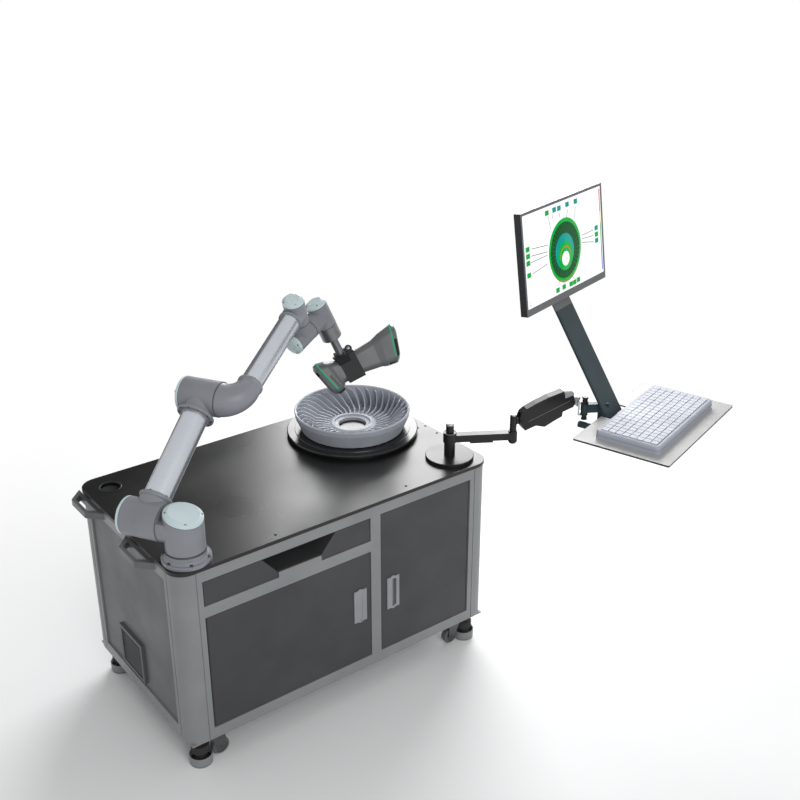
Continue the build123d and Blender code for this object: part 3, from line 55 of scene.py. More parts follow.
MM = 0.001
UP = Vector((0.0, 0.0, 1.0))
Colour = tuple[float, float, float]


# Finishes
CLOUD_DETAIL = 4.0
FINE_DETAIL = 2.0
COLOUR_SPAN = (0.34, 0.66)
GLOSS_SPAN = (0.3, 0.7)
COAT_ROUGHNESS = 0.12


class Grain(Enum):
    """Surface structure of a finish."""

    POWDER = "fine orange peel of powder paint"
    SATIN = "smooth paint with faint mottling"
    MOULDED = "spark-eroded plastic"
    DRAWN = "lines along a drawn tube"
    CAST = "blasted casting"
    SPECKLED = "textured laminate"


GRAIN_SCALE = {
    Grain.POWDER: (620.0, 0.10, 0.00025),
    Grain.SATIN: (240.0, 0.04, 0.0002),
    Grain.MOULDED: (900.0, 0.14, 0.0002),
    Grain.DRAWN: (420.0, 0.05, 0.0001),
    Grain.CAST: (480.0, 0.22, 0.0004),
    Grain.SPECKLED: (340.0, 0.20, 0.0003),
}


@dataclass(frozen=True)
class Finish:
    """Colour, gloss and grain of one material, with slow variation between two tones.

    Args are the fields: name, the main and the second tone, roughness and its spread, metallic
    share, specular level, coat weight, grain, size and direction of the slow tones, and how much
    fine speckle the colour has.
    """

    name: str
    tone: Colour
    second: Colour
    roughness: float
    spread: float = 0.06
    metallic: float = 0.0
    specular: float = 0.5
    coat: float = 0.0
    grain: Grain = Grain.SATIN
    cloud_scale: float = 7.0
    stretch: Colour = (1.0, 1.0, 1.0)
    speck: float = 0.15

    def material(self) -> bpy.types.Material:
        """Builds the material on first use.

        Returns:
            The Blender material.
        """
        found = bpy.data.materials.get(self.name)
        if found:
            return found
        made = bpy.data.materials.new(self.name)
        made.use_nodes = True
        tree = made.node_tree
        shader = tree.nodes["Principled BSDF"]
        shader.inputs["Metallic"].default_value = self.metallic
        shader.inputs["Specular IOR Level"].default_value = self.specular
        shader.inputs["Coat Weight"].default_value = self.coat
        shader.inputs["Coat Roughness"].default_value = COAT_ROUGHNESS
        place = self.placed(tree)
        scale, strength, distance = GRAIN_SCALE[self.grain]
        cloud = self.noise(tree, place, self.cloud_scale, CLOUD_DETAIL)
        fine = self.noise(tree, place, scale, FINE_DETAIL)
        tones = tree.nodes.new("ShaderNodeMix")
        tones.data_type = "RGBA"
        tones.inputs["A"].default_value = (*self.tone, 1.0)
        tones.inputs["B"].default_value = (*self.second, 1.0)
        share = self.ranged(tree, cloud, *COLOUR_SPAN, 0.0, 1.0 - self.speck)
        dotted = tree.nodes.new("ShaderNodeMath")
        dotted.operation = "MULTIPLY_ADD"
        dotted.use_clamp = True
        tree.links.new(fine, dotted.inputs[0])
        dotted.inputs[1].default_value = self.speck
        tree.links.new(share, dotted.inputs[2])
        tree.links.new(dotted.outputs[0], tones.inputs["Factor"])
        tree.links.new(tones.outputs["Result"], shader.inputs["Base Color"])
        low, high = self.roughness - self.spread, self.roughness + self.spread
        gloss = self.ranged(tree, cloud, *GLOSS_SPAN, max(low, 0.02), min(high, 1.0))
        tree.links.new(gloss, shader.inputs["Roughness"])
        bump = tree.nodes.new("ShaderNodeBump")
        bump.inputs["Strength"].default_value = strength
        bump.inputs["Distance"].default_value = distance
        tree.links.new(fine, bump.inputs["Height"])
        tree.links.new(bump.outputs["Normal"], shader.inputs["Normal"])
        return made

    def placed(self, tree: bpy.types.NodeTree) -> bpy.types.NodeSocket:
        """Object coordinates, stretched along the grain.

        Args:
            tree: The material's node tree.

        Returns:
            The vector socket that textures read.
        """
        coords = tree.nodes.new("ShaderNodeTexCoord")
        mapping = tree.nodes.new("ShaderNodeMapping")
        mapping.inputs["Scale"].default_value = self.stretch
        tree.links.new(coords.outputs["Object"], mapping.inputs["Vector"])
        return mapping.outputs["Vector"]

    @staticmethod
    def noise(tree: bpy.types.NodeTree, place: bpy.types.NodeSocket, scale: float,
              detail: float) -> bpy.types.NodeSocket:
        """Adds a noise texture.

        Args:
            tree: The node tree.
            place: The vector socket to read.
            scale: Features per metre.
            detail: Octaves.

        Returns:
            The noise value's socket.
        """
        node = tree.nodes.new("ShaderNodeTexNoise")
        node.inputs["Scale"].default_value = scale
        node.inputs["Detail"].default_value = detail
        tree.links.new(place, node.inputs["Vector"])
        return node.outputs["Fac"]

    @staticmethod
    def ranged(tree: bpy.types.NodeTree, value: bpy.types.NodeSocket, low: float, high: float,
               to_low: float, to_high: float) -> bpy.types.NodeSocket:
        """Maps a value from one range to another, clamped.

        Args:
            tree: The node tree.
            value: The socket to map.
            low: Lowest value read.
            high: Highest value read.
            to_low: Value given at the lowest.
            to_high: Value given at the highest.

        Returns:
            The mapped value's socket.
        """
        node = tree.nodes.new("ShaderNodeMapRange")
        for key, number in (("From Min", low), ("From Max", high), ("To Min", to_low),
                            ("To Max", to_high)):
            node.inputs[key].default_value = number
        tree.links.new(value, node.inputs["Value"])
        return node.outputs["Result"]


@dataclass(frozen=True)
class Glow:
    """A lit surface: a screen's pixels or a signal lamp.

    Args are the fields: name, colour, how bright the light is, the shares of the colour that the
    unlit surface and the darker cells keep, roughness, specular level, and cells per metre.
    """

    name: str
    tone: Colour
    power: float = 1.0
    unlit: float = 0.15
    darker: float = 0.9
    roughness: float = 0.35
    specular: float = 0.1
    cells: float = 60.0

    def material(self) -> bpy.types.Material:
        """Builds the material on first use.

        Returns:
            The Blender material.
        """
        found = bpy.data.materials.get(self.name)
        if found:
            return found
        made = bpy.data.materials.new(self.name)
        made.use_nodes = True
        tree = made.node_tree
        shader = tree.nodes["Principled BSDF"]
        shader.inputs["Base Color"].default_value = (*(self.unlit * c for c in self.tone), 1.0)
        shader.inputs["Roughness"].default_value = self.roughness
        shader.inputs["Specular IOR Level"].default_value = self.specular
        shader.inputs["Emission Strength"].default_value = self.power
        coords = tree.nodes.new("ShaderNodeTexCoord")
        cells = Finish.noise(tree, coords.outputs["Object"], self.cells, 1.0)
        tones = tree.nodes.new("ShaderNodeMix")
        tones.data_type = "RGBA"
        tones.inputs["A"].default_value = (*self.tone, 1.0)
        tones.inputs["B"].default_value = (*(self.darker * c for c in self.tone), 1.0)
        share = Finish.ranged(tree, cells, *GLOSS_SPAN, 0.0, 1.0)
        tree.links.new(share, tones.inputs["Factor"])
        tree.links.new(tones.outputs["Result"], shader.inputs["Emission Color"])
        return made


FRAME_PAINT = Finish("frame paint", (0.235, 0.245, 0.25), (0.205, 0.215, 0.222), 0.42,
                     specular=0.45, grain=Grain.POWDER)
PANEL_PAINT = Finish("side panel paint", (0.135, 0.145, 0.15), (0.115, 0.122, 0.128), 0.5,
                     specular=0.35, grain=Grain.POWDER)
DOOR_PAINT = Finish("door paint", (0.052, 0.053, 0.055), (0.043, 0.044, 0.046), 0.5,
                    specular=0.35, grain=Grain.POWDER)
TOP_LAMINATE = Finish("tabletop laminate", (0.008, 0.008, 0.008), (0.013, 0.013, 0.013), 0.30,
                      spread=0.04, specular=0.38, grain=Grain.SPECKLED, cloud_scale=4.0)
TURNTABLE_BLACK = Finish("turntable black", (0.008, 0.008, 0.009), (0.012, 0.012, 0.013), 0.22,
                         specular=0.4)
PULL_METAL = Finish("pull metal", (0.30, 0.315, 0.325), (0.26, 0.272, 0.28), 0.38, metallic=0.25,
                    grain=Grain.SATIN)
HANDLE_PAINT = Finish("handle paint", (0.12, 0.126, 0.13), (0.095, 0.1, 0.104), 0.36,
                      grain=Grain.POWDER)
SHEET_STEEL = Finish("drawer sheet", (0.19, 0.2, 0.205), (0.165, 0.172, 0.178), 0.42,
                     grain=Grain.POWDER)
ROBOT_SHELL = Finish("robot shell", (0.25, 0.262, 0.29), (0.21, 0.22, 0.245), 0.38,
                     specular=0.42, grain=Grain.CAST)
ROBOT_TUBE = Finish("robot tube", (0.54, 0.57, 0.61), (0.47, 0.50, 0.54), 0.30, metallic=0.75,
                    grain=Grain.DRAWN, spread=0.04)
ROBOT_CAP = Finish("robot cap", (0.60, 0.72, 0.74), (0.55, 0.67, 0.69), 0.34, specular=0.5,
                   grain=Grain.MOULDED)
SCANNER_SHELL = Finish("scanner shell", (0.125, 0.132, 0.138), (0.105, 0.111, 0.116), 0.34,
                       specular=0.45, grain=Grain.MOULDED)
BUTTON_PALE = Finish("pale button", (0.42, 0.44, 0.44), (0.36, 0.38, 0.38), 0.4,
                     grain=Grain.MOULDED)
BLACK_PART = Finish("black anodised", (0.010, 0.010, 0.011), (0.015, 0.015, 0.016), 0.3,
                    specular=0.3, grain=Grain.SATIN)
BLACK_MOULDED = Finish("black moulded", (0.012, 0.013, 0.014), (0.018, 0.019, 0.02), 0.45,
                       specular=0.22, grain=Grain.MOULDED)
CAST_GREY = Finish("cast sample", (0.45, 0.475, 0.53), (0.38, 0.40, 0.45), 0.5,
                   specular=0.35, grain=Grain.CAST, cloud_scale=16.0)
SLATE_PAINT = Finish("column paint", (0.020, 0.040, 0.048), (0.016, 0.032, 0.039), 0.42,
                     specular=0.28, grain=Grain.POWDER)
TRAY_SILVER = Finish("tray silver", (0.44, 0.44, 0.435), (0.40, 0.40, 0.395), 0.42, metallic=0.1,
                     grain=Grain.SATIN)
KEY_BODY = Finish("keyboard body", (0.40, 0.43, 0.50), (0.36, 0.39, 0.46), 0.5,
                  grain=Grain.MOULDED)
KEY_TOP = Finish("key tops", (0.55, 0.575, 0.65), (0.5, 0.525, 0.6), 0.5, grain=Grain.MOULDED)
CASE_PLASTIC = Finish("monitor case", (0.022, 0.024, 0.026), (0.017, 0.019, 0.021), 0.42,
                      specular=0.3, grain=Grain.MOULDED)
STEEL = Finish("bright steel", (0.55, 0.56, 0.57), (0.45, 0.46, 0.47), 0.25, metallic=1.0,
               grain=Grain.DRAWN)
DARK_STEEL = Finish("dark steel", (0.13, 0.133, 0.137), (0.1, 0.103, 0.107), 0.34, metallic=0.8,
                    grain=Grain.SATIN)
UNIT_PAINT = Finish("unit housing", (0.2, 0.208, 0.214), (0.17, 0.177, 0.183), 0.45,
                    grain=Grain.POWDER)
RUBBER = Finish("foot rubber", (0.028, 0.028, 0.029), (0.038, 0.038, 0.038), 0.75, specular=0.3,
                grain=Grain.CAST)
WHEEL_NYLON = Finish("wheel nylon", (0.11, 0.112, 0.115), (0.09, 0.092, 0.095), 0.5,
                     grain=Grain.MOULDED)
SEAL = Finish("joint seal", (0.055, 0.057, 0.062), (0.045, 0.046, 0.05), 0.6,
              grain=Grain.MOULDED)
WINDOW = Finish("black window", (0.004, 0.004, 0.005), (0.006, 0.006, 0.008), 0.16,
                specular=0.3, grain=Grain.SATIN)
VENT_GREY = Finish("vent plastic", (0.085, 0.089, 0.092), (0.07, 0.074, 0.077), 0.5,
                   grain=Grain.MOULDED)
TOOL_STEEL = Finish("tool steel", (0.24, 0.247, 0.26), (0.19, 0.196, 0.206), 0.32, metallic=0.75,
                    grain=Grain.DRAWN)
BEZEL_GREY = Finish("bezel grey", (0.105, 0.109, 0.117), (0.092, 0.096, 0.103), 0.42,
                    grain=Grain.MOULDED)
CAP_SILVER = Finish("cap silver", (0.50, 0.52, 0.53), (0.44, 0.46, 0.47), 0.28, metallic=0.55,
                    grain=Grain.SATIN)
# Grey of the keyboard seam and the post ring, and of the spring arm's flank strips, which are
# painted highlight lines.
TRIM_AND_HIGHLIGHT_GREY = Finish("trim and painted highlight grey", (0.15, 0.158, 0.165), (0.12, 0.127, 0.133), 0.35,
                     metallic=0.3)
EDGE_BLACK = Finish("edge band", (0.012, 0.012, 0.012), (0.02, 0.02, 0.02), 0.4,
                    grain=Grain.MOULDED)
SCREEN_WHITE = Glow("screen white", (0.98, 0.99, 1.0), 1.0)
LAMP_GREEN = Glow("lamp green", (0.012, 0.42, 0.20), 0.8)


NODE_FINISH = {
    "frame_posts": FRAME_PAINT,
    "frame_rails": FRAME_PAINT,
    "tabletop": TOP_LAMINATE,
    "cabinet_panels": PANEL_PAINT,
    "side_handles": HANDLE_PAINT,
    "vent_grille": VENT_GREY,
    "fan_rotor": BLACK_MOULDED,
    "left_door": DOOR_PAINT,
    "right_door": DOOR_PAINT,
    "left_door_pull": PULL_METAL,
    "right_door_pull": PULL_METAL,
    "drawer_front": DOOR_PAINT,
    "drawer_box": SHEET_STEEL,
    "drawer_runners": STEEL,
    "robot_controller": UNIT_PAINT,
    "computer": CASE_PLASTIC,
    "turntable_base": TURNTABLE_BLACK,
    "turntable_platter": TURNTABLE_BLACK,
    "sample_wheel": CAST_GREY,
    "robot_base": ROBOT_SHELL,
    "robot_shoulder": ROBOT_SHELL,
    "robot_shoulder_cap": ROBOT_CAP,
    "upper_arm_housings": ROBOT_SHELL,
    "upper_arm_tube": ROBOT_TUBE,
    "upper_arm_caps": ROBOT_CAP,
    "forearm_housings": ROBOT_SHELL,
    "forearm_tube": ROBOT_TUBE,
    "forearm_cap": ROBOT_CAP,
    "wrist_1": ROBOT_SHELL,
    "wrist_1_cap": ROBOT_CAP,
    "wrist_2": ROBOT_SHELL,
    "wrist_2_cap": ROBOT_CAP,
    "tool_post": TOOL_STEEL,
    "scanner_clamp": BLACK_MOULDED,
    "scanner_body": SCANNER_SHELL,
    "scanner_button": BUTTON_PALE,
    "arm_base": BLACK_PART,
    "arm_link": BLACK_PART,
    "arm_elbow": BLACK_PART,
    "spring_arm": BLACK_PART,
    "arm_head": BLACK_PART,
    "column": SLATE_PAINT,
    "tray": TRAY_SILVER,
    "keyboard": KEY_BODY,
    "keyboard_keys": KEY_TOP,
    "monitor_case": CASE_PLASTIC,
    "monitor_screen": SCREEN_WHITE,
}
CASTER_FINISH = {"caster_yoke": DARK_STEEL, "caster_wheel": WHEEL_NYLON, "caster_foot": RUBBER}
CORNERS = ("left_front", "left_back", "right_front", "right_back")


# Places
@dataclass(frozen=True)
class Joint:
    """A joint of the frame: the point it turns about and its axis."""

    point: Vector
    axis: Vector


def joint(name: str) -> Joint:
    """Looks a joint up in the frame.

    Args:
        name: The joint's name.

    Returns:
        Its point (or the origin for a slide) and unit axis.
    """
    found = next(j for j in frame["joints"] if j["name"] == name)
    point = Vector(found.get("pos_m") or (0.0, 0.0, 0.0))
    return Joint(point, Vector(found["axis"]).normalized())


TOP_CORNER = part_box("tabletop")[0]
TOP_OVERHANG = 0.005
SHIFT = Vector((TOP_CORNER.x + TOP_OVERHANG, TOP_CORNER.y + TOP_OVERHANG, 0.0))


def at(x: float, y: float, z: float) -> Vector:
    """A point from millimetres right of, behind and above the cabinet's left front corner.

    Args:
        x: Distance to the right.
        y: Distance to the back.
        z: Height above the floor.

    Returns:
        The point in the row frame, in metres.
    """
    return Vector((x, y, z)) * MM + SHIFT


def basis(origin: Vector, along: Vector, hint: Vector = UP) -> Matrix:
    """A frame whose Z runs along an axis.

    Args:
        origin: The frame's origin.
        along: Direction of its Z axis.
        hint: Direction that its X axis leans towards.

    Returns:
        The matrix from that frame to the row frame.
    """
    z = along.normalized()
    x = hint - z * hint.dot(z)
    if x.length < 1e-6:
        x = Vector((1.0, 0.0, 0.0)) - z * z.x
    x.normalize()
    return framed(origin, x, z.cross(x), z)


def framed(origin: Vector, x: Vector, y: Vector, z: Vector) -> Matrix:
    """A matrix from an origin and three axes.

    Args:
        origin: The frame's origin.
        x: Its X axis.
        y: Its Y axis.
        z: Its Z axis.

    Returns:
        The matrix.
    """
    rows = [(x[i], y[i], z[i], origin[i]) for i in range(3)]
    return Matrix((*rows, (0.0, 0.0, 0.0, 1.0)))


def level(degrees: float) -> Vector:
    """Level unit vector at an angle from +X, in degrees."""
    return Vector((math.cos(math.radians(degrees)), math.sin(math.radians(degrees)), 0.0))


# Meshes
class Shape:
    """A mesh in the making, in one local frame, with faces that name their finish by number."""

    def __init__(self, place: Matrix | None = None) -> None:
        """Starts an empty mesh.

        Args:
            place: Matrix from the local frame to the row frame.
        """
        self.mesh = bmesh.new()
        self.place = place or Matrix.Identity(4)

    def lathe(self, profile: list[tuple[float, float]], sides: int = 64, finish: int = 0,
              centre: Vector = Vector((0.0, 0.0, 0.0))) -> "Shape":
        """Turns a closed profile about Z.

        Args:
            profile: (radius, height) points in mm, anticlockwise, closed by itself.
            sides: Steps round the axis.
            finish: Material number of the faces.
            centre: Middle of the turned form, in mm.

        Returns:
            The shape itself.
        """
        rings = []
        for radius, height in profile:
            if radius < 1e-6:
                rings.append([self.mesh.verts.new((centre.x * MM, centre.y * MM,
                                                   (centre.z + height) * MM))])
                continue
            ring = []
            for k in range(sides):
                turn = 2 * math.pi * k / sides
                ring.append(self.mesh.verts.new(((centre.x + radius * math.cos(turn)) * MM,
                                                 (centre.y + radius * math.sin(turn)) * MM,
                                                 (centre.z + height) * MM)))
            rings.append(ring)
        for a, b in zip(rings, rings[1:] + rings[:1]):
            self.band(a, b, sides, finish)
        return self

    def band(self, a: list, b: list, sides: int, finish: int) -> None:
        """Joins two rings of a turned form, either of which may be a single point.

        Args:
            a: Vertices of the first ring.
            b: Vertices of the second ring.
            sides: Steps round the axis.
            finish: Material number of the faces.
        """
        if len(a) == 1 and len(b) == 1:
            return
        for k in range(sides):
            n = (k + 1) % sides
            corners = [a[k % len(a)], a[n % len(a)], b[n % len(b)], b[k % len(b)]]
            unique = list(dict.fromkeys(corners))
            face = self.mesh.faces.new(unique)
            face.material_index = finish
            face.smooth = True

    def slab(self, outline: list[tuple[float, float]], low: float, high: float,
             finish: int = 0, bevel: float = 0.0) -> "Shape":
        """Raises a flat outline into a closed plate.

        Args:
            outline: (x, y) points in mm, anticlockwise.
            low: Height of its underside in mm.
            high: Height of its top in mm.
            finish: Material number of the faces.
            bevel: Width of the rounded edge at the top in mm.

        Returns:
            The shape itself.
        """
        bottom = [self.mesh.verts.new((x * MM, y * MM, low * MM)) for x, y in outline]
        top = [self.mesh.verts.new((x * MM, y * MM, high * MM)) for x, y in outline]
        faces = [self.mesh.faces.new(bottom[::-1]), self.mesh.faces.new(top)]
        rim = faces[1]
        for k in range(len(outline)):
            n = (k + 1) % len(outline)
            faces.append(self.mesh.faces.new((bottom[k], bottom[n], top[n], top[k])))
        for face in faces:
            face.material_index = finish
        if bevel:
            bmesh.ops.bevel(self.mesh, geom=list(rim.edges), offset=bevel * MM, segments=2,
                            affect="EDGES", clamp_overlap=True)
        return self

    def bar(self, x: tuple[float, float], y: tuple[float, float], z: tuple[float, float],
            finish: int = 0) -> "Shape":
        """A rectangular plate between pairs of coordinates in mm."""
        corners = [(x[0], y[0]), (x[1], y[0]), (x[1], y[1]), (x[0], y[1])]
        return self.slab(corners, z[0], z[1], finish)

    def line(self, start: tuple[float, float], end: tuple[float, float], width: float,
             z: tuple[float, float], finish: int = 0) -> "Shape":
        """A thin straight strip between two points of the local XY plane, in mm."""
        a, b = Vector(start), Vector(end)
        side = (b - a).normalized().orthogonal() * (width / 2)
        corners = [a - side, b - side, b + side, a + side]
        if (b - a).cross(side) < 0:
            corners.reverse()
        return self.slab([(c.x, c.y) for c in corners], z[0], z[1], finish)

    def ring(self, outer: list[tuple[float, float]], inner: list[tuple[float, float]],
             low: float, high: float, finish: int = 0, closed: bool = True) -> "Shape":
        """A flat band between two outlines of as many points.

        Args:
            outer: Outer (x, y) points in mm, anticlockwise.
            inner: Inner points in the same order.
            low: Height of its underside in mm.
            high: Height of its top in mm.
            finish: Material number of the faces.
            closed: False where the band starts at the first point and ends at the last.

        Returns:
            The shape itself.
        """
        rows = [[self.mesh.verts.new((x * MM, y * MM, z * MM)) for x, y in line]
                for line, z in ((outer, low), (outer, high), (inner, high), (inner, low))]
        count = len(outer)
        faces = []
        for a, b in zip(rows, rows[1:] + rows[:1]):
            for k in range(count if closed else count - 1):
                n = (k + 1) % count
                faces.append(self.mesh.faces.new((a[k], a[n], b[n], b[k])))
        if not closed:
            faces.append(self.mesh.faces.new([row[0] for row in rows]))
            faces.append(self.mesh.faces.new([row[-1] for row in reversed(rows)]))
        for face in faces:
            face.material_index = finish
        return self

    def skin(self, node: str, cuts: list[tuple[Vector, Vector]], lift: float,
             sink: float = 0.6, finish: int = 0) -> "Shape":
        """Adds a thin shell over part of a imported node's surface.

        Args:
            node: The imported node.
            cuts: (point in mm, direction) pairs in local axes; what lies beyond is left out.
            lift: How far it stands out of the surface in mm.
            sink: How far it reaches into it in mm.
            finish: Material number of the faces.

        Returns:
            The shape itself.
        """
        patch = bmesh.new()
        patch.from_mesh(frame["nodes"][node].data)
        patch.transform(self.place.inverted())
        bmesh.ops.remove_doubles(patch, verts=patch.verts[:], dist=2e-6)
        for point, normal in cuts:
            parts = patch.verts[:] + patch.edges[:] + patch.faces[:]
            bmesh.ops.bisect_plane(patch, geom=parts, plane_co=point * MM, plane_no=normal,
                                   clear_outer=True)
        patch.normal_update()
        outer = {v: self.mesh.verts.new(v.co + v.normal * lift * MM) for v in patch.verts}
        inner = {v: self.mesh.verts.new(v.co - v.normal * sink * MM) for v in patch.verts}
        made = []
        for face in patch.faces:
            made.append(self.mesh.faces.new([outer[v] for v in face.verts]))
            made.append(self.mesh.faces.new([inner[v] for v in reversed(face.verts)]))
        for edge in patch.edges:
            if len(edge.link_faces) == 1:
                a, b = edge.verts
                made.append(self.mesh.faces.new((outer[a], outer[b], inner[b], inner[a])))
        for face in made:
            face.material_index = finish
        patch.free()
        return self

    def absorb(self, other: bpy.types.Mesh, place: Matrix) -> "Shape":
        """Adds a finished mesh, moved by a matrix within the local frame."""
        copy = other.copy()
        copy.transform(place)
        self.mesh.from_mesh(copy)
        bpy.data.meshes.remove(copy)
        return self

    def finish(self, name: str, body: str, finishes: list, slot: str) -> bpy.types.Object:
        """Closes the mesh, places it in the row frame, and lets it ride.

        Args:
            name: The piece's name.
            body: The body that it rides on.
            finishes: Its materials' finishes, in the order of the faces' numbers.
            slot: A material slot's name; not used.

        Returns:
            The finished object.
        """
        self.mesh.transform(self.place)
        bmesh.ops.recalc_face_normals(self.mesh, faces=self.mesh.faces[:])
        data = bpy.data.meshes.new(name)
        self.mesh.to_mesh(data)
        self.mesh.free()
        for surface in finishes:
            data.materials.append(surface.material())
        piece = bpy.data.objects.new(name, data)
        bpy.context.scene.collection.objects.link(piece)
        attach(piece, body)
        LOG.info("%s rides on %s", name, body)
        return piece


def rounded(width: float, height: float, radius: float, steps: int = 6,
            centre: tuple[float, float] = (0.0, 0.0)) -> list[tuple[float, float]]:
    """Outline of a rectangle with rounded corners.

    Args:
        width: Size along X in mm.
        height: Size along Y in mm.
        radius: Corner radius in mm.
        steps: Segments of each corner.
        centre: Middle of the outline.

    Returns:
        Anticlockwise (x, y) points in mm.
    """
    points = []
    for k, (sx, sy) in enumerate(((1, -1), (1, 1), (-1, 1), (-1, -1))):
        cx = centre[0] + sx * (width / 2 - radius)
        cy = centre[1] + sy * (height / 2 - radius)
        for i in range(steps + 1):
            turn = math.radians(-90 + 90 * k + 90 * i / steps)
            points.append((cx + radius * math.cos(turn), cy + radius * math.sin(turn)))
    return points


# Repeats made with Geometry Nodes
class Repeat:
    """A node tree that copies one small form round a circle or along a line."""

    def __init__(self, name: str, inputs: list[tuple[str, str, float]]) -> None:
        """Builds the empty tree with its named inputs.

        Args:
            name: The tree's name.
            inputs: (name, socket type, default) of each input.
        """
        self.tree = bpy.data.node_groups.new(name, "GeometryNodeTree")
        face = self.tree.interface
        face.new_socket("Geometry", in_out="INPUT", socket_type="NodeSocketGeometry")
        self.keys: dict[str, str] = {}
        for label, kind, default in inputs:
            made = face.new_socket(label, in_out="INPUT", socket_type=kind)
            if default is not None:
                made.default_value = default
            self.keys[label] = made.identifier
        face.new_socket("Geometry", in_out="OUTPUT", socket_type="NodeSocketGeometry")
        self.start = self.tree.nodes.new("NodeGroupInput")
        self.end = self.tree.nodes.new("NodeGroupOutput")

    def node(self, kind: str, **links: bpy.types.NodeSocket | float | tuple) -> bpy.types.Node:
        """Adds a node and sets or links its inputs.

        Args:
            kind: The node's type.
            links: Input names with underscores for spaces, each a socket or a value.

        Returns:
            The node.
        """
        made = self.tree.nodes.new(kind)
        for key, value in links.items():
            socket = made.inputs[key.replace("_", " ")]
            if isinstance(value, bpy.types.NodeSocket):
                self.tree.links.new(value, socket)
            else:
                socket.default_value = value
        return made

    def close(self, geometry: bpy.types.NodeSocket) -> None:
        """Realizes the copies and names their material.

        Args:
            geometry: The socket with the instances.
        """
        real = self.node("GeometryNodeRealizeInstances", Geometry=geometry)
        dressed = self.node("GeometryNodeSetMaterial", Geometry=real.outputs[0],
                            Material=self.start.outputs["Material"])
        self.tree.links.new(dressed.outputs[0], self.end.inputs[0])

    def mesh(self, values: dict[str, object]) -> bpy.types.Mesh:
        """Evaluates the tree.

        Args:
            values: Value of each named input.

        Returns:
            A plain mesh in the local frame.
        """
        holder = bpy.data.objects.new("holder", bpy.data.meshes.new("holder"))
        bpy.context.scene.collection.objects.link(holder)
        modifier = holder.modifiers.new("repeat", "NODES")
        modifier.node_group = self.tree
        for label, value in values.items():
            modifier[self.keys[label]] = value
        bpy.context.view_layer.update()
        graph = bpy.context.evaluated_depsgraph_get()
        made = bpy.data.meshes.new_from_object(holder.evaluated_get(graph))
        holder.modifiers.remove(modifier)
        bpy.data.objects.remove(holder)
        return made


class ScrewRing(Repeat):
    """Socket-head screws on a circle, upright or pointing outwards."""

    head_sides: int = 18
    socket_sides: int = 6
    socket_share: float = 0.55
    socket_rise: float = 0.6

    def __init__(self) -> None:
        """Builds the tree: heads with a socket recess, copied onto the circle's points."""
        super().__init__("screw ring", [
            ("Count", "NodeSocketInt", 6), ("Radius", "NodeSocketFloat", 0.05),
            ("Head", "NodeSocketFloat", 0.004), ("Height", "NodeSocketFloat", 0.003),
            ("Outwards", "NodeSocketFloat", 0.0), ("Turn", "NodeSocketFloat", 0.0),
            ("Material", "NodeSocketMaterial", None)])
        put = self.start.outputs
        ring = self.node("GeometryNodeMeshCircle", Vertices=put["Count"], Radius=put["Radius"])
        head = self.node("GeometryNodeMeshCylinder", Vertices=self.head_sides, Radius=put["Head"],
                         Depth=put["Height"])
        half = self.node("ShaderNodeMath")
        half.operation = "MULTIPLY"
        self.tree.links.new(put["Head"], half.inputs[0])
        half.inputs[1].default_value = self.socket_share
        hole = self.node("GeometryNodeMeshCylinder", Vertices=self.socket_sides,
                         Radius=half.outputs[0], Depth=put["Height"])
        lift = self.node("ShaderNodeCombineXYZ", Z=put["Height"])
        recess = self.node("ShaderNodeVectorMath")
        recess.operation = "SCALE"
        self.tree.links.new(lift.outputs[0], recess.inputs[0])
        recess.inputs["Scale"].default_value = self.socket_rise
        raised = self.node("GeometryNodeTransform", Geometry=hole.outputs[0],
                           Translation=recess.outputs[0])
        cut = self.tree.nodes.new("GeometryNodeMeshBoolean")
        cut.operation = "DIFFERENCE"
        self.tree.links.new(head.outputs[0], cut.inputs["Mesh 1"])
        self.tree.links.new(raised.outputs[0], cut.inputs["Mesh 2"])
        where = self.node("GeometryNodeInputPosition")
        aim = self.node("FunctionNodeAlignRotationToVector", Factor=put["Outwards"],
                        Vector=where.outputs[0])
        aim.axis = "Z"
        copies = self.node("GeometryNodeInstanceOnPoints", Points=ring.outputs[0],
                           Instance=cut.outputs[0], Rotation=aim.outputs[0])
        spin = self.node("ShaderNodeCombineXYZ", Z=put["Turn"])
        turned = self.node("GeometryNodeTransform", Geometry=copies.outputs[0])
        self.tree.links.new(spin.outputs[0], turned.inputs["Rotation"])
        self.close(turned.outputs[0])

    def screws(self, count: int, radius: float, head: float, height: float,
               surface: Finish, lean: float = 0.0, turn: float = 0.0) -> bpy.types.Mesh:
        """Screw heads on a circle about the local Z axis.

        Args:
            count: Number of screws.
            radius: Circle's radius in mm, to the middle of the heads.
            head: Radius of a head in mm.
            height: Height of a head in mm.
            surface: Their finish.
            lean: 0 for upright screws, 1 for screws that point away from the axis.
            turn: Angle of the first screw in degrees.

        Returns:
            The mesh of all heads.
        """
        return self.mesh({"Count": count, "Radius": radius * MM, "Head": head * MM,
                          "Height": height * MM, "Outwards": lean,
                          "Turn": math.radians(turn), "Material": surface.material()})


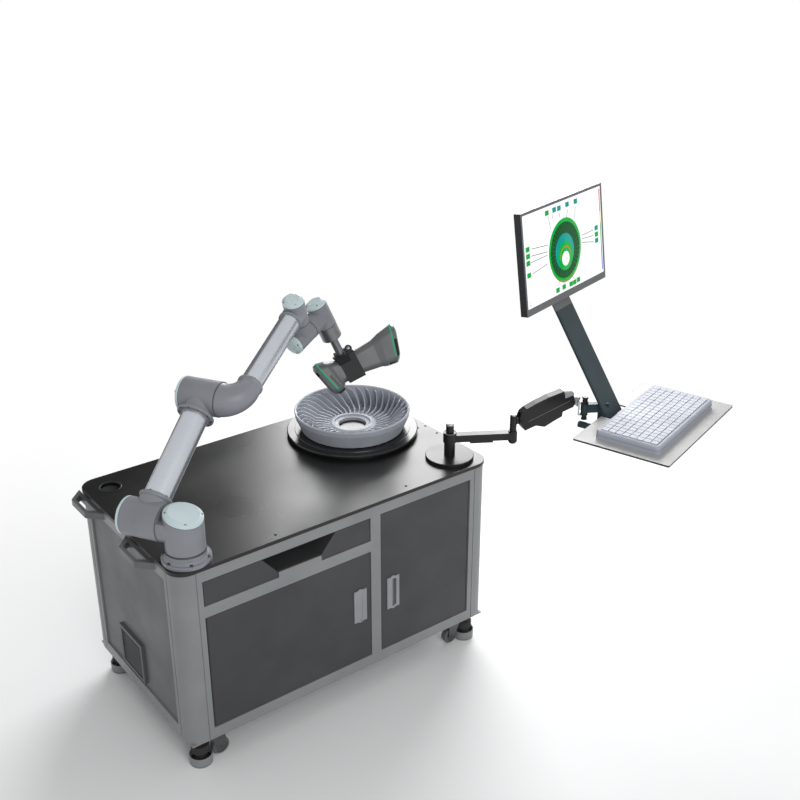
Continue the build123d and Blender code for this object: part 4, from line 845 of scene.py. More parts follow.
class BarRow(Repeat):
    """Equal bars or slots in a straight row."""

    def __init__(self) -> None:
        """Builds the tree: a block copied along a line."""
        super().__init__("bar row", [
            ("Count", "NodeSocketInt", 8), ("Pitch", "NodeSocketVector", None),
            ("Size", "NodeSocketVector", None), ("Material", "NodeSocketMaterial", None)])
        put = self.start.outputs
        row = self.node("GeometryNodeMeshLine", Count=put["Count"], Offset=put["Pitch"])
        bar = self.node("GeometryNodeMeshCube", Size=put["Size"])
        copies = self.node("GeometryNodeInstanceOnPoints", Points=row.outputs[0],
                           Instance=bar.outputs[0])
        self.close(copies.outputs[0])

    def bars(self, count: int, pitch: Colour, size: Colour, surface: Finish) -> bpy.types.Mesh:
        """Bars from the origin on.

        Args:
            count: Number of bars.
            pitch: Step from one to the next in mm.
            size: Size of a bar in mm.
            surface: Their finish.

        Returns:
            The mesh of all bars.
        """
        return self.mesh({"Count": count, "Pitch": tuple(c * MM for c in pitch),
                          "Size": tuple(c * MM for c in size), "Material": surface.material()})


class BladeRing(Repeat):
    """Thin curved blades between two circles, as in a picture of a bladed wheel."""

    thickness: float = 0.00012
    steps: int = 6

    def __init__(self) -> None:
        """Builds the tree: a strip bent sideways, copied round a circle."""
        super().__init__("blade ring", [
            ("Count", "NodeSocketInt", 36), ("Radius", "NodeSocketFloat", 0.05),
            ("Length", "NodeSocketFloat", 0.03), ("Width", "NodeSocketFloat", 0.003),
            ("Bend", "NodeSocketFloat", 9.0), ("Material", "NodeSocketMaterial", None)])
        put = self.start.outputs
        ring = self.node("GeometryNodeMeshCircle", Vertices=put["Count"], Radius=put["Radius"])
        strip = self.node("GeometryNodeMeshGrid", Size_X=put["Length"], Size_Y=put["Width"],
                          Vertices_X=self.steps, Vertices_Y=2)
        place = self.node("GeometryNodeInputPosition")
        parts = self.node("ShaderNodeSeparateXYZ", Vector=place.outputs[0])
        square = self.node("ShaderNodeMath")
        square.operation = "MULTIPLY"
        self.tree.links.new(parts.outputs[0], square.inputs[0])
        self.tree.links.new(parts.outputs[0], square.inputs[1])
        bend = self.node("ShaderNodeMath")
        bend.operation = "MULTIPLY"
        self.tree.links.new(square.outputs[0], bend.inputs[0])
        self.tree.links.new(put["Bend"], bend.inputs[1])
        shift = self.node("ShaderNodeCombineXYZ", Y=bend.outputs[0])
        bent = self.node("GeometryNodeSetPosition", Geometry=strip.outputs[0],
                         Offset=shift.outputs[0])
        thick = self.node("GeometryNodeExtrudeMesh", Mesh=bent.outputs[0],
                          Offset_Scale=self.thickness)
        around = self.node("GeometryNodeInputPosition")
        aim = self.node("FunctionNodeAlignRotationToVector", Vector=around.outputs[0])
        aim.axis = "X"
        copies = self.node("GeometryNodeInstanceOnPoints", Points=ring.outputs[0],
                           Instance=thick.outputs[0], Rotation=aim.outputs[0])
        self.close(copies.outputs[0])

    def blades(self, count: int, radius: float, length: float, width: float, bend: float,
               surface: Glow) -> bpy.types.Mesh:
        """Blades whose middles lie on a circle.

        Args:
            count: Number of blades.
            radius: Radius of that circle in mm.
            length: Length of a blade in mm.
            width: Width of a blade in mm.
            bend: Sideways bow, per metre.
            surface: Their finish.

        Returns:
            The mesh of all blades.
        """
        return self.mesh({"Count": count, "Radius": radius * MM, "Length": length * MM,
                          "Width": width * MM, "Bend": bend, "Material": surface.material()})


# The robot arm's screws, seals and collars
@dataclass
class RobotArm:
    """Dresses the six-axis arm: screws on caps, seals between housings, collars on tubes."""

    shoulder_radius: float = 60.0
    shoulder_offset: float = 125.4
    shoulder_half: float = 62.0
    shoulder_seat: float = 35.8
    lower_radius: float = 58.0
    elbow_radius: float = 57.0
    elbow_offset: float = 123.25
    wrist_radius: float = 37.0
    wrist_joint: float = 44.0
    cap_height: float = 17.0
    cap_bevel: float = 12.0
    cap_tilt: float = 14.0
    shoulder_top: float = 140.0
    flange_top: float = 13.5
    flange_screws: float = 69.0
    tool_seat: float = 94.0
    screws: ScrewRing = field(default_factory=ScrewRing)

    def dress(self) -> None:
        """Builds every detail piece of the arm."""
        self.read_joints()
        self.base()
        for name, centre, axis, radius, turn, body in self.caps():
            self.cap_details(name, centre, axis, radius, turn, body)
        self.seals()
        self.collars()
        self.flange()

    def read_joints(self) -> None:
        """Takes the joint centres and axes from the frame."""
        self.turns = [joint(f"robot_j{k}") for k in range(1, 7)]
        self.across = self.turns[1].axis
        self.upper = (self.turns[2].point - self.turns[1].point).normalized()
        bend = self.turns[2].point + self.across * self.elbow_offset * MM
        self.bend = bend
        self.fore = (self.turns[3].point - bend).normalized()

    def base(self) -> None:
        """Six screws in the base flange and a thin ring round the base just below the shoulder."""
        centre = self.turns[0].point
        shape = Shape(basis(centre, UP, Vector((1.0, 0.0, 0.0))))
        heads = self.screws.screws(6, self.flange_screws, 5.2, 5.0, DARK_STEEL, turn=15.0)
        shape.absorb(heads, Matrix.Translation((0.0, 0.0, self.flange_top * MM)))
        shape.lathe([(62.2, 33.0), (63.2, 33.4), (63.2, 35.4), (62.2, 35.8)], 96)
        shape.finish("robot_base_screws", "cabinet", [DARK_STEEL], "robot_paint")

    def caps(self) -> list[tuple[str, Vector, Vector, float, float, str]]:
        """Name, seat, axis, radius, screw turn and body of each pale cap."""
        j1, j2, j3, j4, j5, j6 = self.turns
        tilt = math.radians(self.cap_tilt)
        slant = UP * math.cos(tilt) + self.across * math.sin(tilt)
        half, wrist = self.shoulder_half * MM, self.wrist_joint * MM
        top, small = j1.point + UP * self.shoulder_top * MM, self.wrist_radius
        side = -self.across
        return [
            ("shoulder", top, slant, self.shoulder_radius, 37.0, "shoulder"),
            ("lower_joint", j2.point + side * half, side, self.lower_radius, 45.0, "upper_arm"),
            ("elbow_joint", j3.point + side * half, side, self.elbow_radius, 30.0, "upper_arm"),
            ("wrist_a", j4.point + j4.axis * wrist, j4.axis, small, 42.0, "forearm"),
            ("wrist_b", j5.point - j5.axis * wrist, -j5.axis, small, 21.0, "wrist_1"),
            ("wrist_c", j6.point - j6.axis * wrist, -j6.axis, small, -5.0, "wrist_2"),
        ]

    def cap_details(self, name: str, centre: Vector, axis: Vector, radius: float, turn: float,
                    body: str) -> None:
        """Four screws on a cap's bevelled rim and the joint lines under it.

        Args:
            name: Name of the cap.
            centre: Middle of its seat.
            axis: Direction it faces.
            radius: Its radius in mm.
            turn: Angle of its first screw in degrees.
            body: Body it rides on.
        """
        place = basis(centre, axis, UP)
        shape = Shape(place)
        size = 4.2 if radius > 50 else 3.4
        heads = self.screws.screws(4, radius - self.cap_bevel / 2 + 0.6, size, 3.0, DARK_STEEL,
                                   0.5, turn)
        shape.absorb(heads, Matrix.Translation((0.0, 0.0, (self.cap_height - 5.2) * MM)))
        shape.finish(f"{name}_cap_screws", body, [DARK_STEEL], "robot_paint")
        ring = Shape(place)
        ring.lathe([(radius - 1.0, -0.5), (radius + 0.35, -0.5), (radius + 0.35, 0.7),
                    (radius - 1.0, 0.7)], 96)
        crown = radius - self.cap_bevel - 2.0
        top = self.cap_height
        ring.lathe([(crown - 1.4, top - 0.6), (crown, top - 0.6), (crown - 0.2, top + 0.35),
                    (crown - 1.2, top + 0.35)], 96, 1)
        ring.finish(f"{name}_cap_joint", body, [SEAL, ROBOT_CAP], "robot_paint")

    def seals(self) -> None:
        """Dark ring at each place where one housing turns against the next."""
        j1, j2, j3, j4, j5, j6 = self.turns
        near = (self.shoulder_offset - self.shoulder_half) * MM
        half = self.elbow_offset / 2 * MM
        wrist, small = (self.wrist_joint - 4.0) * MM, self.wrist_radius
        seat = j1.point + UP * self.shoulder_seat * MM
        rows = [
            ("shoulder_seal", seat, UP, self.shoulder_radius, "shoulder"),
            ("lower_seal", j2.point + j2.axis * near, -j2.axis, self.lower_radius, "upper_arm"),
            ("elbow_seal", j3.point + j3.axis * half, j3.axis, self.elbow_radius - 1.6, "forearm"),
            ("wrist_a_seal", j4.point - j4.axis * wrist, -j4.axis, small, "wrist_1"),
            ("wrist_b_seal", j5.point + j5.axis * wrist, j5.axis, small, "wrist_2"),
            ("wrist_c_seal", j6.point + j6.axis * wrist, j6.axis, small - 0.8, "tool"),
        ]
        for name, point, axis, radius, body in rows:
            ring = Shape(basis(point, axis, UP))
            ring.lathe([(radius - 2.0, 0.35), (radius + 0.5, 0.35), (radius + 0.9, 1.0),
                        (radius + 0.5, 2.4), (radius - 2.0, 2.4)], 96)
            ring.finish(name, body, [SEAL], "robot_paint")

    def collars(self) -> None:
        """Clamp rings with screws where the tubes enter their housings."""
        j2, j3, j4 = self.turns[1:4]
        half = self.elbow_offset / 2
        rows = [
            ("lower_collar", j2.point + self.upper * 0.064, self.upper, 49.0, 53.0, "upper_arm", 6),
            ("upper_collar", j3.point - self.upper * 0.066, -self.upper, 48.0, 60.0, "upper_arm",
             10),
            ("forearm_collar", self.bend + self.fore * (half + 15.0) * MM, self.fore, 41.0, 42.4,
             "forearm", 0),
            ("wrist_collar", j4.point - self.fore * 0.044, -self.fore, 39.0, 40.8, "forearm", 0),
        ]
        for name, point, axis, radius, rim, body, count in rows:
            shape = Shape(basis(point, axis, UP))
            shape.lathe([(radius - 2.0, -6.0), (radius, -6.0), (rim - 1.0, -1.0), (rim, 0.5),
                         (rim, 6.5), (rim - 1.2, 8.0), (radius - 3.0, 8.0)], 96)
            shape.finish(name, body, [ROBOT_SHELL], "robot_paint")
            if count:
                heads = Shape(basis(point, axis, UP))
                heads.absorb(self.screws.screws(count, (rim + radius) / 2, 2.9, 3.0, DARK_STEEL),
                             Matrix.Translation((0.0, 0.0, 0.0088)))
                heads.finish(f"{name}_screws", body, [DARK_STEEL], "robot_paint")

    def flange(self) -> None:
        """Tool flange: four screws round the rod's foot and a clamping ring."""
        j6 = self.turns[5]
        shape = Shape(basis(j6.point + j6.axis * self.tool_seat * MM, j6.axis, UP))
        heads = self.screws.screws(4, 26.0, 3.6, 3.0, DARK_STEEL, turn=45.0)
        shape.absorb(heads, Matrix.Translation((0.0, 0.0, 0.0014)))
        shape.lathe([(15.0, 0.0), (19.0, 0.0), (19.0, 5.0), (17.5, 6.5), (15.0, 6.5)], 64)
        shape.finish("tool_flange_screws", "tool", [DARK_STEEL], "robot_paint")


# The screen's picture
class Mark(Enum):
    """Colours of the measuring picture on the screen."""

    GREEN = 0
    DARK_GREEN = 1
    TEAL = 2
    ORANGE = 3
    WHITE = 4
    GREY = 5
    RED = 6
    YELLOW = 7
    BLUE = 8


MARK_GLOW = [
    Glow("picture green", (0.0, 0.45, 0.05), 0.9),
    Glow("picture dark green", (0.0, 0.10, 0.02), 0.8),
    Glow("picture teal", (0.0, 0.36, 0.32), 0.9),
    Glow("picture orange", (0.42, 0.24, 0.04), 1.0),
    Glow("picture white", (0.98, 0.99, 1.0), 1.0),
    Glow("picture grey", (0.10, 0.11, 0.10), 1.0),
    Glow("picture red", (0.75, 0.06, 0.02), 1.0),
    Glow("picture yellow", (0.85, 0.62, 0.05), 1.0),
    Glow("picture blue", (0.02, 0.10, 0.60), 1.0),
]


@dataclass(frozen=True)
class Layer:
    """One disc of the measured wheel's picture, in mm from the screen's middle."""

    x: float
    y: float
    radius: float
    mark: Mark


BELOW_BLADES = (
    Layer(-1.0, -20.0, 105.0, Mark.DARK_GREEN), Layer(-1.0, -17.0, 107.0, Mark.ORANGE),
    Layer(-1.0, -12.0, 108.0, Mark.GREEN), Layer(-1.0, -14.0, 96.0, Mark.DARK_GREEN))
ABOVE_BLADES = (
    Layer(-4.0, -18.0, 62.0, Mark.TEAL), Layer(-1.0, -34.0, 50.0, Mark.GREEN),
    Layer(-1.0, -36.0, 36.0, Mark.ORANGE), Layer(-1.0, -40.0, 35.0, Mark.GREEN),
    Layer(-1.0, -43.5, 25.0, Mark.WHITE))


@dataclass
class Monitor:
    """Draws the measuring picture on the screen and dresses the case."""

    turn: float = 15.2
    tilt: float = 7.8
    base: float = 0.7
    step: float = 0.05
    front: float = 1.75
    rear: float = -32.25
    blades: BladeRing = field(default_factory=BladeRing)
    rows: BarRow = field(default_factory=BarRow)

    def place(self) -> Matrix:
        """Frame of the screen: X along it, Y up it, Z out of its front."""
        x = level(self.turn)
        out = level(self.turn - 90)
        tilt = math.radians(self.tilt)
        z = out * math.cos(tilt) + UP * math.sin(tilt)
        low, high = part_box("monitor_screen")
        return framed((low + high) / 2, x, z.cross(x), z)

    def dress(self) -> None:
        """Builds the picture, the bezel and the back."""
        self.labels()
        self.wheel()
        self.bezel()
        self.back()

    def labels(self) -> None:
        """Value boxes, their leader lines, the colour scale and the axis mark."""
        shape = Shape(self.place())
        green = [(-106, 134.5), (-239, 42.5), (-239, 19.5), (-240, -3.5), (-240, -43.5),
                 (221, -9.5), (-65, -139.5), (-23, -138.5), (25, -140.5), (50, -140.5),
                 (77, -138.5)]
        teal = [(-58, 135.5), (-27, 134.5), (28, 136.5), (85, 135.5), (221, 13.5), (220, -31.5)]
        for places, mark in ((green, Mark.GREEN), (teal, Mark.TEAL)):
            for x, y in places:
                self.label(shape, x, y, mark)
        leads = [((-216, 39.5), (-113, 28.5)), ((-219, 16.5), (-116, 6.5)),
                 ((-225, -4.5), (-119, -4.5)), ((-217, -43.5), (-121, -33.5)),
                 ((118, 9.5), (200, 10.5)), ((117, -2.5), (198, -9.5)),
                 ((116, -15.5), (198, -31.5)), ((-98, 121.5), (-89, 78.5)),
                 ((-73, 124.5), (-71, 109.5)), ((-27, 119.5), (-24, 102.5)),
                 ((31, 119.5), (19, 93.5)), ((82, 118.5), (74, 77.5)),
                 ((-60, -128), (-52, -112)), ((-23, -128), (-20, -118)), ((48, -130), (36, -112))]
        for start, end in leads:
            shape.line(start, end, 2.2, (self.base, self.base + 0.15), Mark.GREY.value)
        stops = (146.5, 106.5, 66.5, 26.5, -59.5, -101.5, -144.5)
        marks = (Mark.RED, Mark.ORANGE, Mark.YELLOW, Mark.GREEN, Mark.TEAL, Mark.BLUE)
        for high, low, mark in zip(stops, stops[1:], marks):
            shape.bar((250.0, 256.0), (low, high), (self.base, self.base + 0.2), mark.value)
        for end, mark in (((-246, -128), Mark.RED), ((-234, -148), Mark.BLUE)):
            shape.line((-246, -146), end, 1.6, (self.base, self.base + 0.15), mark.value)
        shape.finish("screen_labels", "monitor", MARK_GLOW, "screen_glass")

    def label(self, shape: Shape, x: float, y: float, mark: Mark) -> None:
        """A value box with two rows of plain dashes.

        Args:
            shape: The shape to add to.
            x: Middle along the screen in mm.
            y: Middle up the screen in mm.
            mark: Its colour.
        """
        top = self.base + 0.2
        shape.bar((x - 12.0, x + 12.0), (y - 8.5, y + 8.5), (self.base, top), mark.value)
        for row in (-3.6, 3.6):
            shape.bar((x - 8.5, x + 8.0), (y + row - 0.7, y + row + 0.7), (top - 0.05, top + 0.05),
                      Mark.DARK_GREEN.value)

    def wheel(self) -> None:
        """The bladed wheel's picture: rim, blades, hub and bore, seen a little from below."""
        shape = Shape(self.place())
        top = self.base + 0.1
        for layer in BELOW_BLADES:
            top = self.disc(shape, layer, top)
        shape.absorb(self.blades.blades(36, 78.0, 37.0, 7.4, 9.0, MARK_GLOW[Mark.GREEN.value]),
                     Matrix.Translation((-0.001, -0.014, (top + 0.01) * MM)))
        top += 0.1
        for layer in ABOVE_BLADES:
            top = self.disc(shape, layer, top)
        axes = (top - 0.02, top + 0.04)
        shape.line((-1.0, -52.0), (-1.0, -33.0), 1.6, axes, Mark.DARK_GREEN.value)
        shape.line((-1.0, -46.0), (11.0, -46.0), 1.6, axes, Mark.RED.value)
        shape.finish("screen_wheel", "monitor", MARK_GLOW, "screen_glass")

    def disc(self, shape: Shape, layer: Layer, low: float) -> float:
        """Adds one flat disc of the picture.

        Args:
            shape: The shape to add to.
            layer: The disc.
            low: Height of its underside in mm.

        Returns:
            Height of its top in mm.
        """
        high = low + self.step
        profile = [(0.0, self.base - 0.1), (layer.radius, self.base - 0.1), (layer.radius, high),
                   (0.0, high)]
        shape.lathe(profile, 72, layer.mark.value, Vector((layer.x, layer.y, 0.0)))
        return high

    def bezel(self) -> None:
        """Lighter frame round the glass."""
        shape = Shape(self.place())
        shape.ring(rounded(539.6, 343.6, 2.0, centre=(0.0, -7.5)), rounded(522.0, 311.0, 1.0),
                   self.front - 0.3, self.front + 0.35)
        shape.finish("monitor_bezel", "monitor", [BEZEL_GREY], "case_grey")

    def back(self) -> None:
        """Vent slots and socket bay on the rear of the case."""
        shape = Shape(self.place())
        vents = self.rows.bars(26, (10.0, 0.0, 0.0), (4.0, 26.0, 1.6), BLACK_MOULDED)
        shape.absorb(vents, Matrix.Translation((-0.125, 0.055, self.rear * MM)))
        shape.slab(rounded(120.0, 24.0, 4.0, centre=(0.0, -70.0)), self.rear - 0.4, self.rear + 1.0)
        shape.finish("monitor_vents", "monitor", [BLACK_MOULDED], "case_grey")


# The cabinet, the side arm and the console
@dataclass
class Cabinet:
    """Dresses the cabinet: cable ring, drawer lip, pull flap, key holes and foot cups."""

    hole: tuple[float, float, float] = (76.0, 613.0, 744.0)
    lip_x: tuple[float, float] = (342.0, 500.0)
    lip_z: tuple[float, float] = (605.3, 624.3)
    pull_x: tuple[float, float] = (647.0, 783.0)
    pull_z: float = 371.0
    lock_drop: float = 55.5
    foot_x: tuple[float, float] = (52.0, 1148.0)
    foot_y: tuple[float, float] = (52.0, 645.0)

    def dress(self) -> None:
        """Builds every detail piece of the cabinet."""
        self.cable_ring()
        self.drawer_lip()
        self.pulls()
        self.foot_cups()

    def cable_ring(self) -> None:
        """Black sleeve with a flat rim in the cable hole."""
        shape = Shape(Matrix.Translation(at(*self.hole)))
        shape.lathe([(32.5, -10.0), (33.9, -10.0), (33.9, -0.1), (38.0, -0.1), (38.0, 0.9),
                     (37.2, 1.6), (33.3, 1.6), (32.5, 0.8)], 72)
        shape.finish("cable_ring", "cabinet", [BLACK_MOULDED], "top_black")

    def drawer_lip(self) -> None:
        """Painted plate below the drawer's grip cup."""
        shape = Shape(Matrix.Translation(at(0.0, 0.0, 0.0)))
        shape.bar(self.lip_x, (-0.4, 2.0), self.lip_z)
        shape.finish("drawer_lip", "drawer", [FRAME_PAINT], "frame_paint")

    def pulls(self) -> None:
        """Flap that closes the left pull's slot, and the key holes of both locks."""
        left, right = self.pull_x
        shape = Shape(Matrix.Translation(at(left, 0.0, self.pull_z)))
        shape.bar((-12.6, 12.6), (-1.6, -0.4), (-53.6, 53.6))
        shape.bar((5.6, 6.4), (-1.75, -1.5), (-50.0, 50.0), 1)
        shape.finish("left_pull_flap", "left_door", [PULL_METAL, DARK_STEEL], "pull_grey")
        for name, x in (("left_door", left), ("right_door", right)):
            hole = Shape(Matrix.Translation(at(x, 0.0, self.pull_z - self.lock_drop)))
            hole.bar((-0.8, 0.8), (-3.2, -2.8), (-2.4, 2.4))
            hole.finish(f"{name}_key_hole", name, [BLACK_PART], "black_metal")

    def foot_cups(self) -> None:
        """Painted cup round the pad of each levelling foot."""
        names = iter(CORNERS)
        for x in self.foot_x:
            for y in self.foot_y:
                shape = Shape(Matrix.Translation(at(x, y, 0.0)))
                shape.lathe([(34.5, 0.4), (36.3, 0.4), (37.2, 10.0), (37.2, 33.0), (36.6, 34.0),
                             (35.4, 34.0), (35.0, 33.0), (35.0, 10.0), (34.5, 7.0)], 72)
                corner = next(names)
                shape.finish(f"foot_cup_{corner}", f"caster_foot_{corner}", [FRAME_PAINT],
                             "frame_paint")


@dataclass
class SideArm:
    """Dresses the side arm: caps of its posts, painted highlight lines, silver end cap and pale
    bracket.
    """

    post: tuple[float, float] = (1104.0, 99.0)
    half_width: float = 17.0
    # Ends of the lighter strip on each flank: a painted highlight line.
    highlight_line: tuple[tuple[float, float], tuple[float, float]] = ((20.0, -8.0), (185.0, 9.0))
    cap_from: tuple[float, float] = (170.0, 26.0)
    bracket_from: float = 14.0

    def dress(self) -> None:
        """Builds every detail piece of the arm."""
        self.post_caps()
        self.spring_cover()
        self.bracket()

    def post_caps(self) -> None:
        """Post's cap painted pale as a highlight on its top, the post's ring, the elbow's bright
        cap.
        """
        # Cap on the post's top; its pale silver colour is a painted highlight.
        shape = Shape(Matrix.Translation(at(*self.post, 0.0)))
        shape.lathe([(0.0, 865.6), (14.7, 865.6), (14.7, 874.0), (13.6, 875.0), (0.0, 875.0)], 56)
        shape.finish("post_cap_highlight", "cabinet", [CAP_SILVER], "arm_black")
        ring = Shape(Matrix.Translation(at(*self.post, 0.0)))
        ring.lathe([(19.6, 837.6), (23.2, 837.6), (23.2, 840.0), (22.6, 840.5), (19.6, 840.5)], 56)
        ring.finish("post_ring", "arm_link", [TRIM_AND_HIGHLIGHT_GREY], "arm_black")
        elbow = joint("elbow_swivel").point
        disc = Shape(Matrix.Translation((elbow.x, elbow.y, 0.0)))
        disc.lathe([(0.0, 894.6), (12.6, 894.6), (12.6, 898.6), (11.6, 899.5), (0.0, 899.5)], 56)
        disc.finish("elbow_cap", "arm_link", [STEEL], "arm_black")

    def spring_cover(self) -> None:
        """Lighter strips along both flanks, painted highlight lines, and the silver cap at the far
        end.
        """
        root, tip = joint("arm_height"), joint("head_level")
        along = (tip.point - root.point).normalized()
        place = framed(root.point, along, root.axis.cross(along), root.axis)
        shape = Shape(place)
        # Painted highlight: a lighter grey strip along each flank where light catches the black
        # cover.
        for side in (-1, 1):
            middle = side * self.half_width
            shape.line(*self.highlight_line, 1.8, (middle - 0.4, middle + 0.4))
        shape.finish("spring_arm_painted_highlights", "spring_arm", [TRIM_AND_HIGHLIGHT_GREY], "arm_black")
        cap = Shape(place)
        start, low = self.cap_from
        cap.skin("spring_arm", [(Vector((start, 0.0, 0.0)), Vector((-1.0, 0.0, 0.0))),
                                (Vector((0.0, low, 0.0)), Vector((0.0, -1.0, 0.0)))], 1.2)
        cap.finish("spring_arm_cap", "spring_arm", [CAP_SILVER], "arm_black")

    def bracket(self) -> None:
        """Pale paint on the bracket that carries the console's pivot."""
        pivot, tip = joint("console_swivel").point, joint("head_level").point
        way = tip - pivot
        way.z = 0.0
        shape = Shape(basis(pivot, UP, way.normalized()))
        shape.skin("arm_head", [(Vector((self.bracket_from, 0.0, 0.0)), Vector((-1.0, 0.0, 0.0)))],
                   0.3)
        shape.finish("arm_head_paint", "arm_head", [CAP_SILVER], "arm_black")


@dataclass
class Console:
    """Dresses the column, the tray and the keyboard."""

    foot: tuple[float, float, float] = (1628.0, -167.0, 862.0)
    turn: float = 17.2
    lean: float = 32.0
    neck_from: float = 412.0
    tray: tuple[float, float, float] = (1680.0, -314.0, 870.0)
    tray_size: tuple[float, float, float] = (566.2, 343.2, 6.0)
    notch: tuple[float, float] = (-70.2, 57.8)

    def dress(self) -> None:
        """Builds every detail piece of the console."""
        self.neck()
        self.tray_edge()
        self.keyboard_seam()

    def neck(self) -> None:
        """Grey head of the column that carries the monitor."""
        back, lean = level(self.turn + 90), math.radians(self.lean)
        shape = Shape(basis(at(*self.foot), UP * math.cos(lean) + back * math.sin(lean)))
        shape.skin("column", [(Vector((0.0, 0.0, self.neck_from)), Vector((0.0, 0.0, -1.0)))], 0.3)
        shape.finish("column_neck", "console", [BEZEL_GREY], "slate")

    def board(self) -> Matrix:
        """Frame on the tray's top: X along it, Y towards the column."""
        return framed(at(*self.tray), level(self.turn), level(self.turn + 90), UP)

    def tray_edge(self) -> None:
        """Black edge band round the tray, open at the notch for the column."""
        width, depth, thick = self.tray_size
        lines = []
        for inset in (0.0, 1.0):
            points = rounded(width - 2 * inset, depth - 2 * inset, 6.0 - inset)
            half = len(points) // 2
            high = depth / 2 - inset
            lines.append([(self.notch[0], high), *points[half:], *points[:half],
                          (self.notch[1], high)])
        shape = Shape(self.board())
        shape.ring(lines[0], lines[1], -thick - 0.05, 0.05, closed=False)
        shape.finish("tray_edge", "tray", [EDGE_BLACK], "tray_grey")

    def keyboard_seam(self) -> None:
        """Seam between the keyboard's two shells."""
        shape = Shape(self.board())
        shape.ring(rounded(468.6, 230.6, 16.3), rounded(467.0, 229.0, 15.5), 11.5, 12.7)
        shape.finish("keyboard_seam", "tray", [TRIM_AND_HIGHLIGHT_GREY], "key_body")


